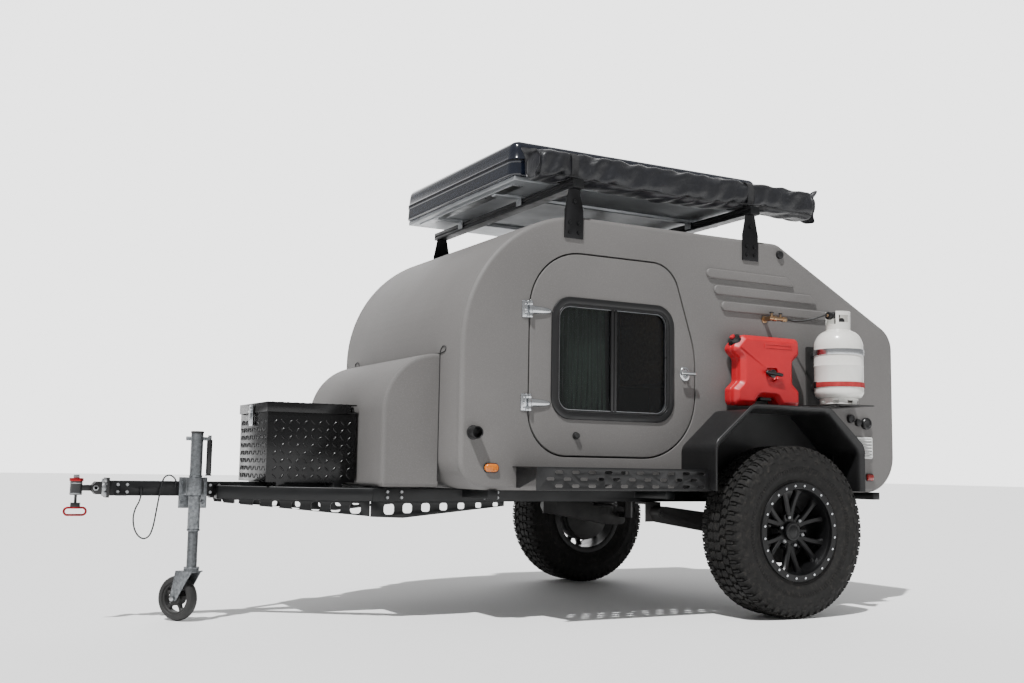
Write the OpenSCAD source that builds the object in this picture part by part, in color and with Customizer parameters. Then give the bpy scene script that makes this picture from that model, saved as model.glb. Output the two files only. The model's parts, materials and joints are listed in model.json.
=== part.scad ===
// Off-road teardrop trailer: steel A-frame chassis, sandwich-panel cabin,
// two side doors, rear galley hatch, roof rack with folded tent and awning,
// parked level on its jockey-wheel jack.
// X runs forward to the coupler, Y to the left side, Z up from the ground.

/* [Body] */
// Width over the side walls
body_w = 1492; // [1440:1:1560]
// Front face of the cabin, ahead of the axle
body_front = 1689; // [1500:1:1950]
// Rear face of the cabin, behind the axle
body_tail = 1018; // [900:1:1200]
// Underside of the side walls above the ground
floor_z = 604; // [600:1:640]
// Top of the roof above the ground
roof_z = 1922; // [1850:1:2000]
// Radius of the front of the roof
front_r = 650; // [450:10:700]
// Radius of the lower front corner
front_low_r = 145; // [60:5:200]
// Where the flat roof ends, behind the axle
roof_end = 181; // [120:1:240]
// Height at which the rear slope would meet the rear face
slope_low_z = 1483; // [1400:1:1540]
// Radius at the bottom of the rear slope
tail_r = 140; // [60:5:200]
// Radius of the lower rear corner
tail_low_r = 200; // [100:5:240]
// Thickness of walls, roof, floor, doors and hatch
panel_t = 32; // [24:1:40]
// Lower edge of the rear hatch above the ground
hatch_low_z = 1015; // [960:5:1080]
// Gap round the hatch
hatch_gap = 6; // [5:1:8]

/* [Doors] */
// Front edge of the door, ahead of the axle
door_front = 1334; // [1300:1:1400]
// Rearmost edge of the door, ahead of the axle
door_rear = 377; // [340:1:420]
// Lower edge of the door
door_low_z = 768; // [750:1:800]
// Upper edge of the door
door_top_z = 1736; // [1700:1:1760]
// Gap round each door
door_gap = 8; // [7:1:10]
// Length of the window frame
window_l = 713; // [600:1:760]
// Height of the window frame
window_h = 586; // [480:1:600]
// Width of the window frame's face
window_rim = 45; // [30:1:60]

/* [Wheels] */
// Tyre diameter
tyre_d = 838; // [760:1:860]
// Tyre section width
tyre_w = 270; // [230:1:290]
// Rim seat diameter
rim_d = 432; // [380:1:440]
// Distance between the two wheel centres
track = 1932; // [1900:1:1960]

/* [Chassis] */
// Height of the main rails
rail_h = 60; // [50:1:80]
// Width of the main rails
rail_w = 50; // [40:1:60]
// Distance between the main rails' centres
rail_span = 900; // [860:10:960]
// Coupler pin ahead of the axle
coupler_x = 3200; // [3100:1:3400]
// Height of the coupler above the ground
coupler_z = 588; // [560:1:610]
// Depth of the deepest part of the slotted webs
web_h = 76; // [60:1:90]

/* [Steps and fenders] */
// Height of the fender's flat top
fender_top_z = 1012; // [1000:1:1040]
// Half length of the fender
fender_half = 458; // [450:1:480]
// How far the fender stands out from the wall
fender_w = 304; // [280:1:330]
// How far the step stands out from the wall
step_w = 224; // [180:1:240]
// Front end of the step ahead of the axle
step_front = 1417; // [1380:1:1440]
// Height of the step's tread
step_z = 714; // [690:1:740]

/* [Roof load] */
// Height of the top of the roof bars
bar_z = 2092; // [2060:1:2140]
// Length of the folded tent
tent_l = 1560; // [1400:10:1700]
// Width of the folded tent
tent_w = 1330; // [1200:10:1340]
// Height of the tent's shell
tent_h = 200; // [120:5:240]
// Length of the awning bag
awning_l = 1720; // [1500:10:1800]

/* [Jack] */
// Diameter of the jack's outer tube
jack_d = 54; // [48:1:60]
// Diameter of the jack's wheel
caster_d = 200; // [180:1:220]
// Distance of the jack ahead of the axle
jack_x = 2708; // [2680:1:2760]
// Turn of the jack's wheel away from straight ahead
caster_turn = -53; // [-90:1:90]

/* [Hidden] */
$fn = 64;
eps = 1;
fit = 0.3;

wall_y = body_w / 2;
skin_y = wall_y - panel_t;
ring_r = 50;
nose_x = coupler_x + ring_r + 4;
light_t = 14;
origin_x = (nose_x - body_tail - light_t) / 2;

// ---- outlines -------------------------------------------------------------

function unit(v) = v / norm(v);
function xy(p) = [p[0], p[1]];

// One corner [x, z, radius] of an outline as the points of its arc
function corner(a, b, c) = b[2] == 0 ? [xy(b)] :
    let (u = unit(xy(a) - xy(b)), v = unit(xy(c) - xy(b)), half = acos(u * v) / 2,
         m = xy(b) + unit(u + v) * b[2] / sin(half),
         s = xy(b) + u * b[2] / tan(half) - m,
         e = xy(b) + v * b[2] / tan(half) - m,
         from = atan2(s[1], s[0]), sweep = (cross(s, e) > 0 ? 1 : -1) * (180 - 2 * half),
         n = max(2, ceil(abs(sweep) / 7.5)))
    [for (i = [0:n]) m + b[2] * [cos(from + sweep * i / n), sin(from + sweep * i / n)]];

// A closed outline whose corners [x, z, radius] are rounded
function rounded(pts) = let (n = len(pts))
    [for (i = [0:n - 1]) each corner(pts[(i + n - 1) % n], pts[i], pts[(i + 1) % n])];

function round_box(x0, x1, z0, z1, r) =
    rounded([[x0, z0, r], [x1, z0, r], [x1, z1, r], [x0, z1, r]]);

// Slope of the rear of the roof
slope_a = atan((roof_z - slope_low_z) / (body_tail - roof_end));

// Side outline of the cabin, moved inwards by t
function cabin(t) = rounded([
    [body_front - t, floor_z + t, max(front_low_r - t, 5)],
    [body_front - t, roof_z - t, front_r - t],
    [-roof_end + t * tan(slope_a / 2), roof_z - t, 100 - t],
    [-body_tail + t, slope_low_z - t * tan(45 - slope_a / 2), tail_r - t],
    [-body_tail + t, floor_z + t, tail_low_r - t]]);

// Door outline, grown outwards by g
function door_outline(g) = rounded([
    [door_front + g, door_low_z - g, 200 + g],
    [door_front + g, door_top_z + g, 280 + g],
    [door_rear + 143 - g, door_top_z + g, 160 + g],
    [door_rear - g, door_top_z - 436, 500 + g],
    [door_rear - g, door_low_z - g, 310 + g]]);

window_x = door_rear + 486;
window_z = door_low_z + 464;
function window_outline(t) = round_box(window_x - window_l / 2 + t, window_x + window_l / 2 - t,
    window_z - window_h / 2 + t, window_z + window_h / 2 - t, 105 - t);

// ---- helpers --------------------------------------------------------------

// Everything is measured from the axle, and placed about the middle of the trailer
module from_axle() translate([-origin_x, 0, 0]) children();

// An X-Z outline as a plate between two Y values
module plate(pts, y0, y1)
    translate([0, y1, 0]) rotate([90, 0, 0]) linear_extrude(y1 - y0) polygon(pts);

module box(x0, x1, y0, y1, z0, z1)
    translate([x0, y0, z0]) cube([x1 - x0, y1 - y0, z1 - z0]);

module rod_y(x, z, r, y0, y1)
    translate([x, y1, z]) rotate([90, 0, 0]) cylinder(h = y1 - y0, r = r);

module rod_x(y, z, r, x0, x1)
    translate([x0, y, z]) rotate([0, 90, 0]) cylinder(h = x1 - x0, r = r);

module rod_z(x, y, r, z0, z1) translate([x, y, z0]) cylinder(h = z1 - z0, r = r);

module right_side() mirror([0, 1, 0]) children();

module both_sides() {
    children();
    right_side() children();
}

// ---- chassis --------------------------------------------------------------

rail_z0 = floor_z - rail_h;
rail_y = rail_span / 2;
frame_front = body_front + 300;
frame_tail = body_tail - 120;
beam_h = 66;
beam_w = 76;
beam_end = coupler_x - 134;
beam_top = coupler_z + beam_h / 2;
a_frame_x = 2600;
a_frame_y = beam_w / 2 + rail_w / 2;

module chassis_frame() color("#26282b") from_axle() {
    both_sides() box(-frame_tail, frame_front, rail_y - rail_w / 2, rail_y + rail_w / 2,
                     rail_z0, floor_z);
    for (x = [-frame_tail, -420, 380, 960, body_front - 60, frame_front - rail_w])
        box(x, x + rail_w, -rail_y, rail_y, rail_z0, floor_z);
    both_sides() for (x = [-frame_tail, 500, body_front - 200])
        box(x, x + rail_w, rail_y, wall_y, rail_z0 + 20, floor_z);
}

module a_rail(t) {
    half = rail_w / 2;
    linear_extrude(t) polygon([
        [frame_front, rail_y - half], [frame_front, rail_y + half],
        [a_frame_x, a_frame_y + half], [a_frame_x, a_frame_y - half]]);
}

eye_x = beam_end - 46;
eye_r = 8;
eye_y = beam_w / 2 + 18;

module drawbar() color("#26282b") from_axle() difference() {
    union() {
        box(frame_front, beam_end, -beam_w / 2, beam_w / 2,
            coupler_z - beam_h / 2, coupler_z + beam_h / 2);
        both_sides() box(eye_x - 22, eye_x + 22, beam_w / 2 - eps, eye_y + 16,
                         coupler_z - beam_h / 2, coupler_z - beam_h / 2 + 10);
        for (end = [cable_route[0] + [0, 0, gland_l / 2],
                    cable_route[len(cable_route) - 1] - [0, 0, gland_l / 2]])
            translate(end) {
                cylinder(h = gland_l, r = cable_d, center = true);
                translate([-4, beam_w / 2 - end[1] - eps, -4]) cube([8, cable_d, 8]);
            }
    }
    both_sides() rod_z(eye_x, eye_y, eye_r, rail_z0 - 50, floor_z + 50);
}

module a_frame() color("#26282b") from_axle() both_sides() translate([0, 0, rail_z0])
    a_rail(rail_h);

web_t = 5;
web_low = rail_z0 - web_h;
a_len = norm([a_frame_x - frame_front, rail_y - a_frame_y]);
a_turn = atan2(a_frame_y - rail_y, a_frame_x - frame_front);

// Slotted web of the given outline, its slots shrinking away from the deep end
module web(pts, slots, deep, shallow) difference() {
    plate(pts, -web_t / 2, web_t / 2);
    for (s = slots) {
        k = abs(s - deep) / abs(shallow - deep);
        w = 52 - 24 * k;
        h = (web_h - 26) * (1 - 0.62 * k);
        plate(round_box(s - w / 2, s + w / 2, rail_z0 - h - 10 + 6 * k, rail_z0 - 10 + 6 * k,
                        h / 3), -web_t, web_t);
    }
}

module truss_webs() color("#202225") from_axle() both_sides() {
    translate([0, rail_y, 0])
        web([[1300, rail_z0], [1300, rail_z0 - 22], [frame_front - 160, web_low],
             [frame_front - 1, web_low + 6], [frame_front - 1, rail_z0]],
            [for (i = [0:6]) frame_front - 90 - 92 * i], frame_front - 90, 1340);
    translate([frame_front, rail_y, 0]) rotate([0, 0, a_turn])
        web([[4, rail_z0], [4, web_low + 8], [a_len - 40, rail_z0 - 18], [a_len - 30, rail_z0]],
            [for (i = [0:6]) 70 + 92 * i], 0, 700);
}

// ---- suspension -----------------------------------------------------------

axle_z = tyre_d / 2;
spindle_r = 22;
pivot_x = 470;
pivot_z = rail_z0 - 60;
arm_y = rail_y + 110;

module suspension() {
    plate(rounded([[-70, axle_z - 45, 30], [40, axle_z - 45, 30], [pivot_x, pivot_z - 40, 30],
                   [pivot_x + 40, pivot_z + 30, 30], [pivot_x - 30, pivot_z + 40, 20],
                   [60, axle_z + 60, 20], [-70, axle_z + 60, 20]]), arm_y - 35, arm_y + 35);
    rod_y(0, axle_z, 40, arm_y + 30, track / 2 - 108);
    rod_y(0, axle_z, spindle_r, arm_y + 30, track / 2 + 62);
    rod_y(0, axle_z, 150, track / 2 - 116, track / 2 - 108);
    // pivot hanger, coil spring and damper
    box(pivot_x - 45, pivot_x + 45, arm_y - 45, arm_y - 35, pivot_z - 40, rail_z0);
    box(pivot_x - 45, pivot_x + 45, rail_y - 25, arm_y - 35, rail_z0 - 12, rail_z0);
    rod_y(pivot_x, pivot_z, 14, arm_y - 45, arm_y + 45);
    rod_z(60, arm_y, 55, axle_z + 20, floor_z - 20);
    box(0, 120, rail_y + rail_w / 2, arm_y + 60, floor_z - 20, floor_z);
    box(-60, -20, rail_y, arm_y - 30, axle_z, axle_z + 30);
    rod_z(-40, rail_y, 24, axle_z, rail_z0);
}

module suspension_left() color("#2b2d30") from_axle() suspension();
module suspension_right() color("#2b2d30") from_axle() right_side() suspension();

// ---- wheels ---------------------------------------------------------------

rim_r = rim_d / 2;
flange_r = rim_r + 23;
flange_y = tyre_w / 2 - 15;
hub_gap = 0.1;
lug_pcd = 139.7;

module about_wheel(side) translate([0, side * track / 2, axle_z]) rotate([-90 * side, 0, 0])
    children();

module tyre() rotate_extrude($fn = 96) {
    r = tyre_d / 2;
    half = tyre_w / 2;
    bead = flange_y - 10;
    polygon(rounded([[rim_r, -bead, 4], [rim_r + 40, -bead, 6], [rim_r + 100, -half, 60],
        [r - 26, -half + 6, 22], [r - 2, -half + 20, 14], [r, 0, 0], [r - 2, half - 20, 14],
        [r - 26, half - 6, 22], [rim_r + 100, half, 60], [rim_r + 40, bead, 6],
        [rim_r, bead, 4]]));
}

module rim() difference() {
    union() {
        rotate_extrude($fn = 96) polygon([
            [rim_r - 10, -flange_y], [flange_r, -flange_y], [flange_r, -flange_y + 8],
            [rim_r - fit, -flange_y + 8], [rim_r - fit, flange_y - 8], [flange_r, flange_y - 8],
            [flange_r, flange_y], [rim_r - 10, flange_y]]);
        translate([0, 0, 40]) cylinder(h = 22, r = rim_r - 5);
        translate([0, 0, 20]) cylinder(h = 60, r = 48);
    }
    translate([0, 0, -eps]) cylinder(h = 65 + eps, r = spindle_r + hub_gap);
    for (i = [0:7]) rotate([0, 0, 45 * i]) translate([145, 0, 30]) cylinder(h = 50, r = 36);
    for (i = [0:5]) rotate([0, 0, 60 * i]) translate([lug_pcd / 2, 0, 30])
        cylinder(h = 60, r = 7.5, $fn = 24);
}

module tyre_left() color("#17181a") from_axle() about_wheel(1) tyre();
module rim_left() color("#1c1d20") from_axle() about_wheel(1) rim();
module tyre_right() color("#17181a") from_axle() about_wheel(-1) tyre();
module rim_right() color("#1c1d20") from_axle() about_wheel(-1) rim();

// ---- cabin ----------------------------------------------------------------

floor_front = body_front - front_low_r;
floor_tail = body_tail - tail_low_r;
hatch_x = -roof_end + 12;

module cabin_floor() color("#3b3d40") from_axle()
    box(-floor_tail, floor_front, -skin_y, skin_y, floor_z, floor_z + panel_t);

gill_t = 12;
gill_h = 50;
gill_pitch = 82;
gill_top_z = roof_z - 178;

// Three raised strips with a round front end and a rear end cut to the roof's slope
module gills() for (i = [0:2]) {
    z1 = gill_top_z - gill_pitch * i;
    x1 = 303 - 48 * i;
    x0 = -234 - 160 * i;
    plate(rounded([[x1, z1, 24], [x0, z1, 4], [x0 - 60, z1 - gill_h, 4], [x1, z1 - gill_h, 24]]),
          wall_y - fit, wall_y + gill_t);
}

module side_wall() difference() {
    union() {
        plate(cabin(0), skin_y, wall_y);
        gills();
    }
    plate(door_outline(door_gap), skin_y - eps, wall_y + eps);
}

module wall_left() color("#5b5d60") from_axle() side_wall();
module wall_right() color("#5b5d60") from_axle() right_side() side_wall();

module skin(t) difference() {
    plate(cabin(0), -skin_y, skin_y);
    plate(cabin(t), -skin_y - eps, skin_y + eps);
}

module roof_skin() color("#5b5d60") from_axle() intersection() {
    skin(panel_t);
    union() {
        box(floor_front, body_front + eps, -wall_y, wall_y, floor_z - eps, roof_z + eps);
        box(hatch_x, body_front, -wall_y, wall_y, roof_z - front_r, roof_z + eps);
    }
}

module rear_panel() color("#5b5d60") from_axle() intersection() {
    skin(panel_t);
    box(-body_tail - eps, -floor_tail, -wall_y, wall_y, floor_z - eps, hatch_low_z - hatch_gap);
}

bulkhead_t = 18;
bulkhead_low_x = -398;
bulkhead_top_x = hatch_x + 2;
shelf_z = 1232;

module bulkhead() color("#b79f76") from_axle() {
    box(bulkhead_low_x, bulkhead_low_x + bulkhead_t, -skin_y, skin_y, floor_z + panel_t, shelf_z);
    box(bulkhead_low_x, bulkhead_top_x + bulkhead_t, -skin_y, skin_y, shelf_z,
        shelf_z + bulkhead_t);
    intersection() {
        box(bulkhead_top_x, bulkhead_top_x + bulkhead_t, -skin_y, skin_y, shelf_z, roof_z);
        plate(cabin(panel_t + fit), -skin_y, skin_y);
    }
}

counter_z = hatch_low_z - 30;

module galley_shelves() color("#c9b184") from_axle() {
    box(-body_tail + panel_t, bulkhead_low_x, -skin_y, skin_y, counter_z - 22, counter_z);
    for (y = [-260, 240])
        box(-body_tail + 90, bulkhead_low_x, y, y + 18, counter_z, shelf_z - 40);
    box(-body_tail + 90, bulkhead_low_x, -skin_y, skin_y, shelf_z - 40, shelf_z - 22);
}

module mattress() color("#8f9499") from_axle()
    plate(round_box(bulkhead_low_x + bulkhead_t + 12, floor_front - 20,
        floor_z + panel_t + fit, door_low_z - 12, 30), -skin_y + 24, skin_y - 24);

pod_front = body_front + 281;
pod_half = 520;
pod_z0 = floor_z + 8;
pod_top_z = floor_z + 631;
pod_t = 20;
pod_r = 275;

function pod_outline(t) = rounded([
    [body_front, pod_z0 + t, 0], [pod_front - t, pod_z0 + t, 20],
    [pod_front - t, pod_top_z - t, pod_r - t], [body_front, pod_top_z - t, 0]]);

module front_pod() color("#5b5d60") from_axle() difference() {
    plate(pod_outline(0), -pod_half, pod_half);
    intersection() {
        plate(pod_outline(pod_t), -pod_half + pod_t, pod_half - pod_t);
        box(body_front - eps, pod_front, -wall_y, wall_y, floor_z, roof_z);
    }
}

// ---- hatch ----------------------------------------------------------------

hinge_pin_r = 5;
barrel_r = 9;
hatch_axis = [hatch_x - hatch_gap, roof_z + barrel_r + 1];
hatch_half = skin_y - hatch_gap;
hatch_knuckles = [-500, 0, 500];
knuckle_l = 60;

module hatch() color("#55575a") from_axle() {
    intersection() {
        skin(panel_t);
        box(-body_tail - eps, hatch_x - hatch_gap, -hatch_half, hatch_half,
            hatch_low_z, roof_z + eps);
    }
    for (y = hatch_knuckles) difference() {
        union() {
            rod_y(hatch_axis[0], hatch_axis[1], barrel_r, y - knuckle_l / 2, y + knuckle_l / 2);
            box(hatch_axis[0] - 40, hatch_axis[0], y - knuckle_l / 2, y + knuckle_l / 2,
                roof_z - 16, roof_z + leaf_t);
        }
        rod_y(hatch_axis[0], hatch_axis[1], hinge_pin_r + 0.05, y - knuckle_l, y + knuckle_l);
    }
}

// ---- doors ----------------------------------------------------------------

door_axis = [door_front + door_gap / 2, wall_y + 12];
door_hinge_z = [door_low_z + 242, door_low_z + 679];
hinge_h = 80;
leaf_t = 5;

module door_panel() difference() {
    plate(door_outline(0), skin_y, wall_y);
    plate(window_outline(window_rim - 15), skin_y - eps, wall_y + eps);
}

module window_frame() difference() {
    union() {
        plate(window_outline(0), wall_y, wall_y + 7);
        plate(window_outline(window_rim - 15 + fit), skin_y + 4, wall_y);
    }
    plate(window_outline(window_rim), skin_y - eps, wall_y + 8);
}

pane_t = 4;
module window_glass() {
    inset = window_rim + fit;
    half = window_l / 2 - inset;
    intersection() {
        plate(window_outline(inset), skin_y + 6, wall_y - 2);
        union() {
            box(window_x - 22, window_x + half, skin_y + 18, skin_y + 18 + pane_t,
                window_z - window_h, window_z + window_h);
            box(window_x - half, window_x + 22, skin_y + 8, skin_y + 8 + pane_t,
                window_z - window_h, window_z + window_h);
            box(window_x - 10, window_x + 10, skin_y + 8 + pane_t + fit, skin_y + 18 - fit,
                window_z - window_h, window_z + window_h);
        }
    }
}

handle_x = door_rear + 62;
handle_z = door_low_z + 422;
catch_x = 255;
catch_z = door_low_z + 95;

// Hinge leaves, T-handle and catch knob of one door
module door_fittings() {
    for (z = door_hinge_z) difference() {
        union() {
            plate(rounded([[door_axis[0] - 2, z - hinge_h / 2 + 22, 0],
                [door_axis[0] - 117, z - 12, 12], [door_axis[0] - 117, z + 12, 12],
                [door_axis[0] - 2, z + hinge_h / 2 - 22, 0]]), wall_y, wall_y + leaf_t);
            rod_z(door_axis[0], door_axis[1], barrel_r, z - hinge_h / 2 + 22,
                  z + hinge_h / 2 - 22);
            box(door_axis[0] - 16, door_axis[0], wall_y, wall_y + 12, z - hinge_h / 2 + 22,
                z + hinge_h / 2 - 22);
        }
        rod_z(door_axis[0], door_axis[1], hinge_pin_r + 0.05, z - hinge_h, z + hinge_h);
    }
    rod_y(handle_x, handle_z, 30, wall_y, wall_y + 8);
    rod_y(handle_x, handle_z, 9, wall_y + 8, wall_y + 34);
    box(handle_x - 42, handle_x + 42, wall_y + 26, wall_y + 38, handle_z - 9, handle_z + 9);
    rod_y(door_front - catch_x, catch_z, 14, wall_y, wall_y + 20);
    box(window_x - window_l / 2, window_x + window_l / 2, skin_y - 22, skin_y - 16,
        window_z + window_h / 2 + 10, window_z + window_h / 2 + 22);
    for (x = [window_x - window_l / 2, window_x + window_l / 2 - 12])
        box(x, x + 12, skin_y - 16, skin_y, window_z + window_h / 2 + 10,
            window_z + window_h / 2 + 22);
}

// Gathered curtain behind the front pane, hung from its rail
module curtain() box(window_x + 20, window_x + window_l / 2 - 16, skin_y - 26, skin_y - 12,
    window_z - window_h / 2 - 20, window_z + window_h / 2 + 10 - fit);

module door_left() color("#5f6164") from_axle() door_panel();
module window_frame_left() color("#101113") from_axle() window_frame();
module glass_left() color("#20262a", 0.5) from_axle() window_glass();
module door_fittings_left() color("#b9bcc0") from_axle() door_fittings();
module curtain_left() color("#2c3a33") from_axle() curtain();
module door_right() color("#5f6164") from_axle() right_side() door_panel();
module window_frame_right() color("#101113") from_axle() right_side() window_frame();
module glass_right() color("#20262a", 0.5) from_axle() right_side() window_glass();
module door_fittings_right() color("#b9bcc0") from_axle() right_side() door_fittings();
module curtain_right() color("#2c3a33") from_axle() right_side() curtain();

// Base plates, pins and outer knuckles of the door hinges and of the hatch hinge
module fixed_hinges() color("#b9bcc0") from_axle() {
    both_sides() for (z = door_hinge_z) {
        box(door_axis[0] + 7, door_axis[0] + 43, wall_y, wall_y + leaf_t, z - hinge_h / 2,
            z + hinge_h / 2);
        rod_z(door_axis[0], door_axis[1], hinge_pin_r, z - hinge_h / 2, z + hinge_h / 2);
        for (s = [-1, 1]) {
            zc = z + s * (hinge_h / 2 - 10.5);
            rod_z(door_axis[0], door_axis[1], barrel_r, zc - 10.5, zc + 10.5);
            box(door_axis[0], door_axis[0] + 16, wall_y + 1, wall_y + 12, zc - 10.5, zc + 10.5);
        }
    }
    for (y = hatch_knuckles) {
        rod_y(hatch_axis[0], hatch_axis[1], hinge_pin_r, y - 1.5 * knuckle_l,
              y + 1.5 * knuckle_l);
        for (s = [-1, 1]) {
            yc = y + s * (knuckle_l + 1);
            rod_y(hatch_axis[0], hatch_axis[1], barrel_r, yc - knuckle_l / 2, yc + knuckle_l / 2);
            box(hatch_axis[0], hatch_axis[0] + 46, yc - knuckle_l / 2, yc + knuckle_l / 2,
                roof_z, roof_z + leaf_t);
        }
    }
}

// ---- fenders and steps ----------------------------------------------------

fender_t = 4;
fender_lip = 24;
fender_y = wall_y + fender_w;

function fender_outline(g) = rounded([
    [-fender_half - g, floor_z - 2, 0], [-fender_half - g, fender_top_z - 190 + g, 60],
    [-240 - g / 2, fender_top_z + g, 60], [240 + g / 2, fender_top_z + g, 60],
    [fender_half + g, fender_top_z - 190 + g, 60], [fender_half + g, floor_z - 2, 0]]);

module fender() difference() {
    union() {
        plate(fender_outline(0), wall_y, fender_y);
        plate(fender_outline(fender_lip), fender_y - 6, fender_y);
    }
    difference() {
        plate(fender_outline(-fender_t), wall_y - eps, fender_y + eps);
        box(-fender_half, fender_half, wall_y, wall_y + 1, fender_top_z - 30, fender_top_z);
    }
    box(-fender_half, fender_half, wall_y - eps, fender_y + eps, floor_z - 10, floor_z + 10);
}

module fender_left() color("#1b1c1f") from_axle() fender();
module fender_right() color("#1b1c1f") from_axle() right_side() fender();

step_t = 5;
step_z0 = floor_z + 6;
step_y = wall_y + step_w;
step_rear = fender_half + fit;
slot_pitch = 88;
slot_rows = 3;
slot_l = 42;
slot_w = 15;

function slots_at(r) = [for (i = [0:9]) step_rear + 50 + slot_pitch * (i + (r % 2) / 2)];

// Slot with cut corners, as a plasma cutter leaves it
function slot_outline(x, z) = let (c = slot_w / 3) [for (k = [
    [-1, -1, c, 0], [1, -1, -c, 0], [1, -1, 0, c], [1, 1, 0, -c],
    [1, 1, -c, 0], [-1, 1, c, 0], [-1, 1, 0, -c], [-1, -1, 0, c]])
    [x + k[0] * slot_l / 2 + k[2], z + k[1] * slot_w / 2 + k[3]]];

// Folded tread and skirt, with rows of slots in both, on three brackets
module step() {
    difference() {
        union() {
            box(step_rear, step_front, wall_y, step_y, step_z - step_t, step_z);
            box(step_rear, step_front, step_y - step_t, step_y, step_z0, step_z);
        }
        for (r = [0:slot_rows - 1]) for (x = slots_at(r)) {
            plate(slot_outline(x, step_z0 + 20 + 31 * r), step_y - 2 * step_t, step_y + eps);
            translate([0, 0, step_z - 2 * step_t]) linear_extrude(3 * step_t)
                polygon(slot_outline(x, wall_y + 50 + 62 * r));
        }
    }
    for (x = [step_rear + 20, 940, step_front - 25])
        step_bracket(x);
}

// Bracket under the tread, from the side wall to the skirt
module step_bracket(x) translate([x, 0, 0]) rotate([90, 0, 90]) linear_extrude(5)
    polygon([[wall_y, step_z - step_t], [wall_y, step_z0 + 6], [wall_y + 30, step_z0 + 6],
             [step_y - step_t, step_z - 40], [step_y - step_t, step_z - step_t]]);

module step_left() color("#1b1c1f") from_axle() step();
module step_right() color("#1b1c1f") from_axle() right_side() step();

// ---- things on the side walls ---------------------------------------------

catch_l = 50;
// Round fittings of the left wall: x, z, radius, depth
wall_inlets = [[-187, roof_z - 60, 22, 14], [-683, 1003, 24, 18], [-737, 984, 20, 16],
    [-795, 980, 32, 22]];
louvre_x = -842;
louvre_z = 788;
louvre_l = 118;
louvre_t = 9;

// Door stops on both walls, and the inlets and the louvre of the left wall
module wall_fittings() color("#1a1b1d") from_axle() {
    both_sides() rod_y(door_front + catch_x + 34, catch_z, 29, wall_y, wall_y + catch_l);
    for (f = wall_inlets) rod_y(f[0], f[1], f[2], wall_y, wall_y + f[3]);
    translate([louvre_x, 0, louvre_z]) difference() {
        plate(round_box(0, louvre_l, 0, louvre_l, 10), wall_y, wall_y + louvre_t);
        for (i = [0:5]) box(12, louvre_l - 12, wall_y + 2, wall_y + louvre_t + eps,
                            11 + 17 * i, 20 + 17 * i);
    }
}

// Outlines of the two lamps on each side wall
marker_lamps = [round_box(1492, 1564, 686, 724, 18.5), round_box(-846, -796, 668, 704, 10)];
marker_t = 12;
tail_lamp = [light_t, 110, 130];

module lights() color("#c8601c") from_axle() {
    both_sides() for (lamp = marker_lamps) plate(lamp, wall_y, wall_y + marker_t);
    both_sides() translate([-body_tail - light_t, 560, 850]) cube(tail_lamp);
}

plate_w = 372;
plate_h = 136;
plate_z = 870;
plate_hole = 300;

module number_plate() color("#d8d9da") from_axle() difference() {
    box(-body_tail - 6, -body_tail, -plate_w / 2, plate_w / 2, plate_z - plate_h / 2,
        plate_z + plate_h / 2);
    both_sides() rod_x(plate_hole / 2, plate_z + 40, 3.5, -body_tail - 10, -body_tail + 2);
}

// ---- roof -----------------------------------------------------------------

bar_h = 42;
bar_w = 60;
bar_half = wall_y + 44;
leg_w = 104;
leg_t = 8;
bar_x = [1104, 15];

module roof_rack() color("#17181a") from_axle() for (x = bar_x) {
    difference() {
        box(x - bar_w / 2, x + bar_w / 2, -bar_half, bar_half, bar_z - bar_h, bar_z);
        for (s = [-1, 1]) box(x + s * bar_w / 2 - 8, x + s * bar_w / 2 + 8, -bar_half - eps,
            bar_half + eps, bar_z - bar_h / 2 - 5, bar_z - bar_h / 2 + 5);
    }
    both_sides() {
        box(x - leg_w / 2, x + leg_w / 2, wall_y, wall_y + leg_t, roof_z - 112, roof_z + 30);
        plate([[x - leg_w / 2, roof_z + 20], [x + leg_w / 2, roof_z + 20],
               [x + bar_w / 2, bar_z - bar_h], [x - bar_w / 2, bar_z - bar_h]],
              wall_y, wall_y + leg_t);
    }
}

module roof_vent() color("#c9ccd0") from_axle() {
    plate(rounded([[760, roof_z, 0], [1000, roof_z, 0], [992, roof_z + 24, 8],
                   [768, roof_z + 24, 8]]), -370, -60);
    plate(rounded([[740, roof_z + 24, 4], [1000, roof_z + 24, 4], [1000, roof_z + 62, 16],
                   [740, roof_z + 62, 16]]), -390, -40);
}

tent_front = 1350;
tent_left = 580;
tray_h = 38;

module tent_base() color("#a9adb2") from_axle() {
    box(tent_front - tent_l + 20, tent_front - 20, tent_left - tent_w + 20, tent_left - 20,
        bar_z + 16, bar_z + tray_h - fit);
    for (y = [tent_left - 340, tent_left - tent_w + 300])
        box(tent_front - tent_l + 60, tent_front - 60, y, y + 40, bar_z, bar_z + 16);
}

crown_h = 28;
crown_in = 45;

// Rounded rectangle over the tent's plan, moved inwards by g
function tent_plan(g) = round_box(tent_front - tent_l + g, tent_front - g,
    tent_left - tent_w + g, tent_left - g, 55);

module tent_shell() color("#14181d") from_axle() translate([0, 0, bar_z + tray_h]) {
    linear_extrude(tent_h - crown_h) polygon(tent_plan(0));
    linear_extrude(tent_h) polygon(tent_plan(crown_in));
}

awning_front = 1293;
awning_w = 165;
awning_h = 152;

module awning_bag() color("#1a1b1e") from_axle()
    translate([awning_front, tent_left + 20, bar_z + fit]) rotate([90, 0, -90])
        linear_extrude(awning_l) polygon([for (p = round_box(0, awning_w, 0, awning_h, 50))
            [-p[0], p[1]]]);

// ---- fuel can and gas bottle ----------------------------------------------

can_x = -13;
can_l = 432;
can_h = 361;
can_z = fender_top_z + fender_lip + 5;
can_w = 96;
can_y = wall_y + 20;
notch_r = 62;

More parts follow.
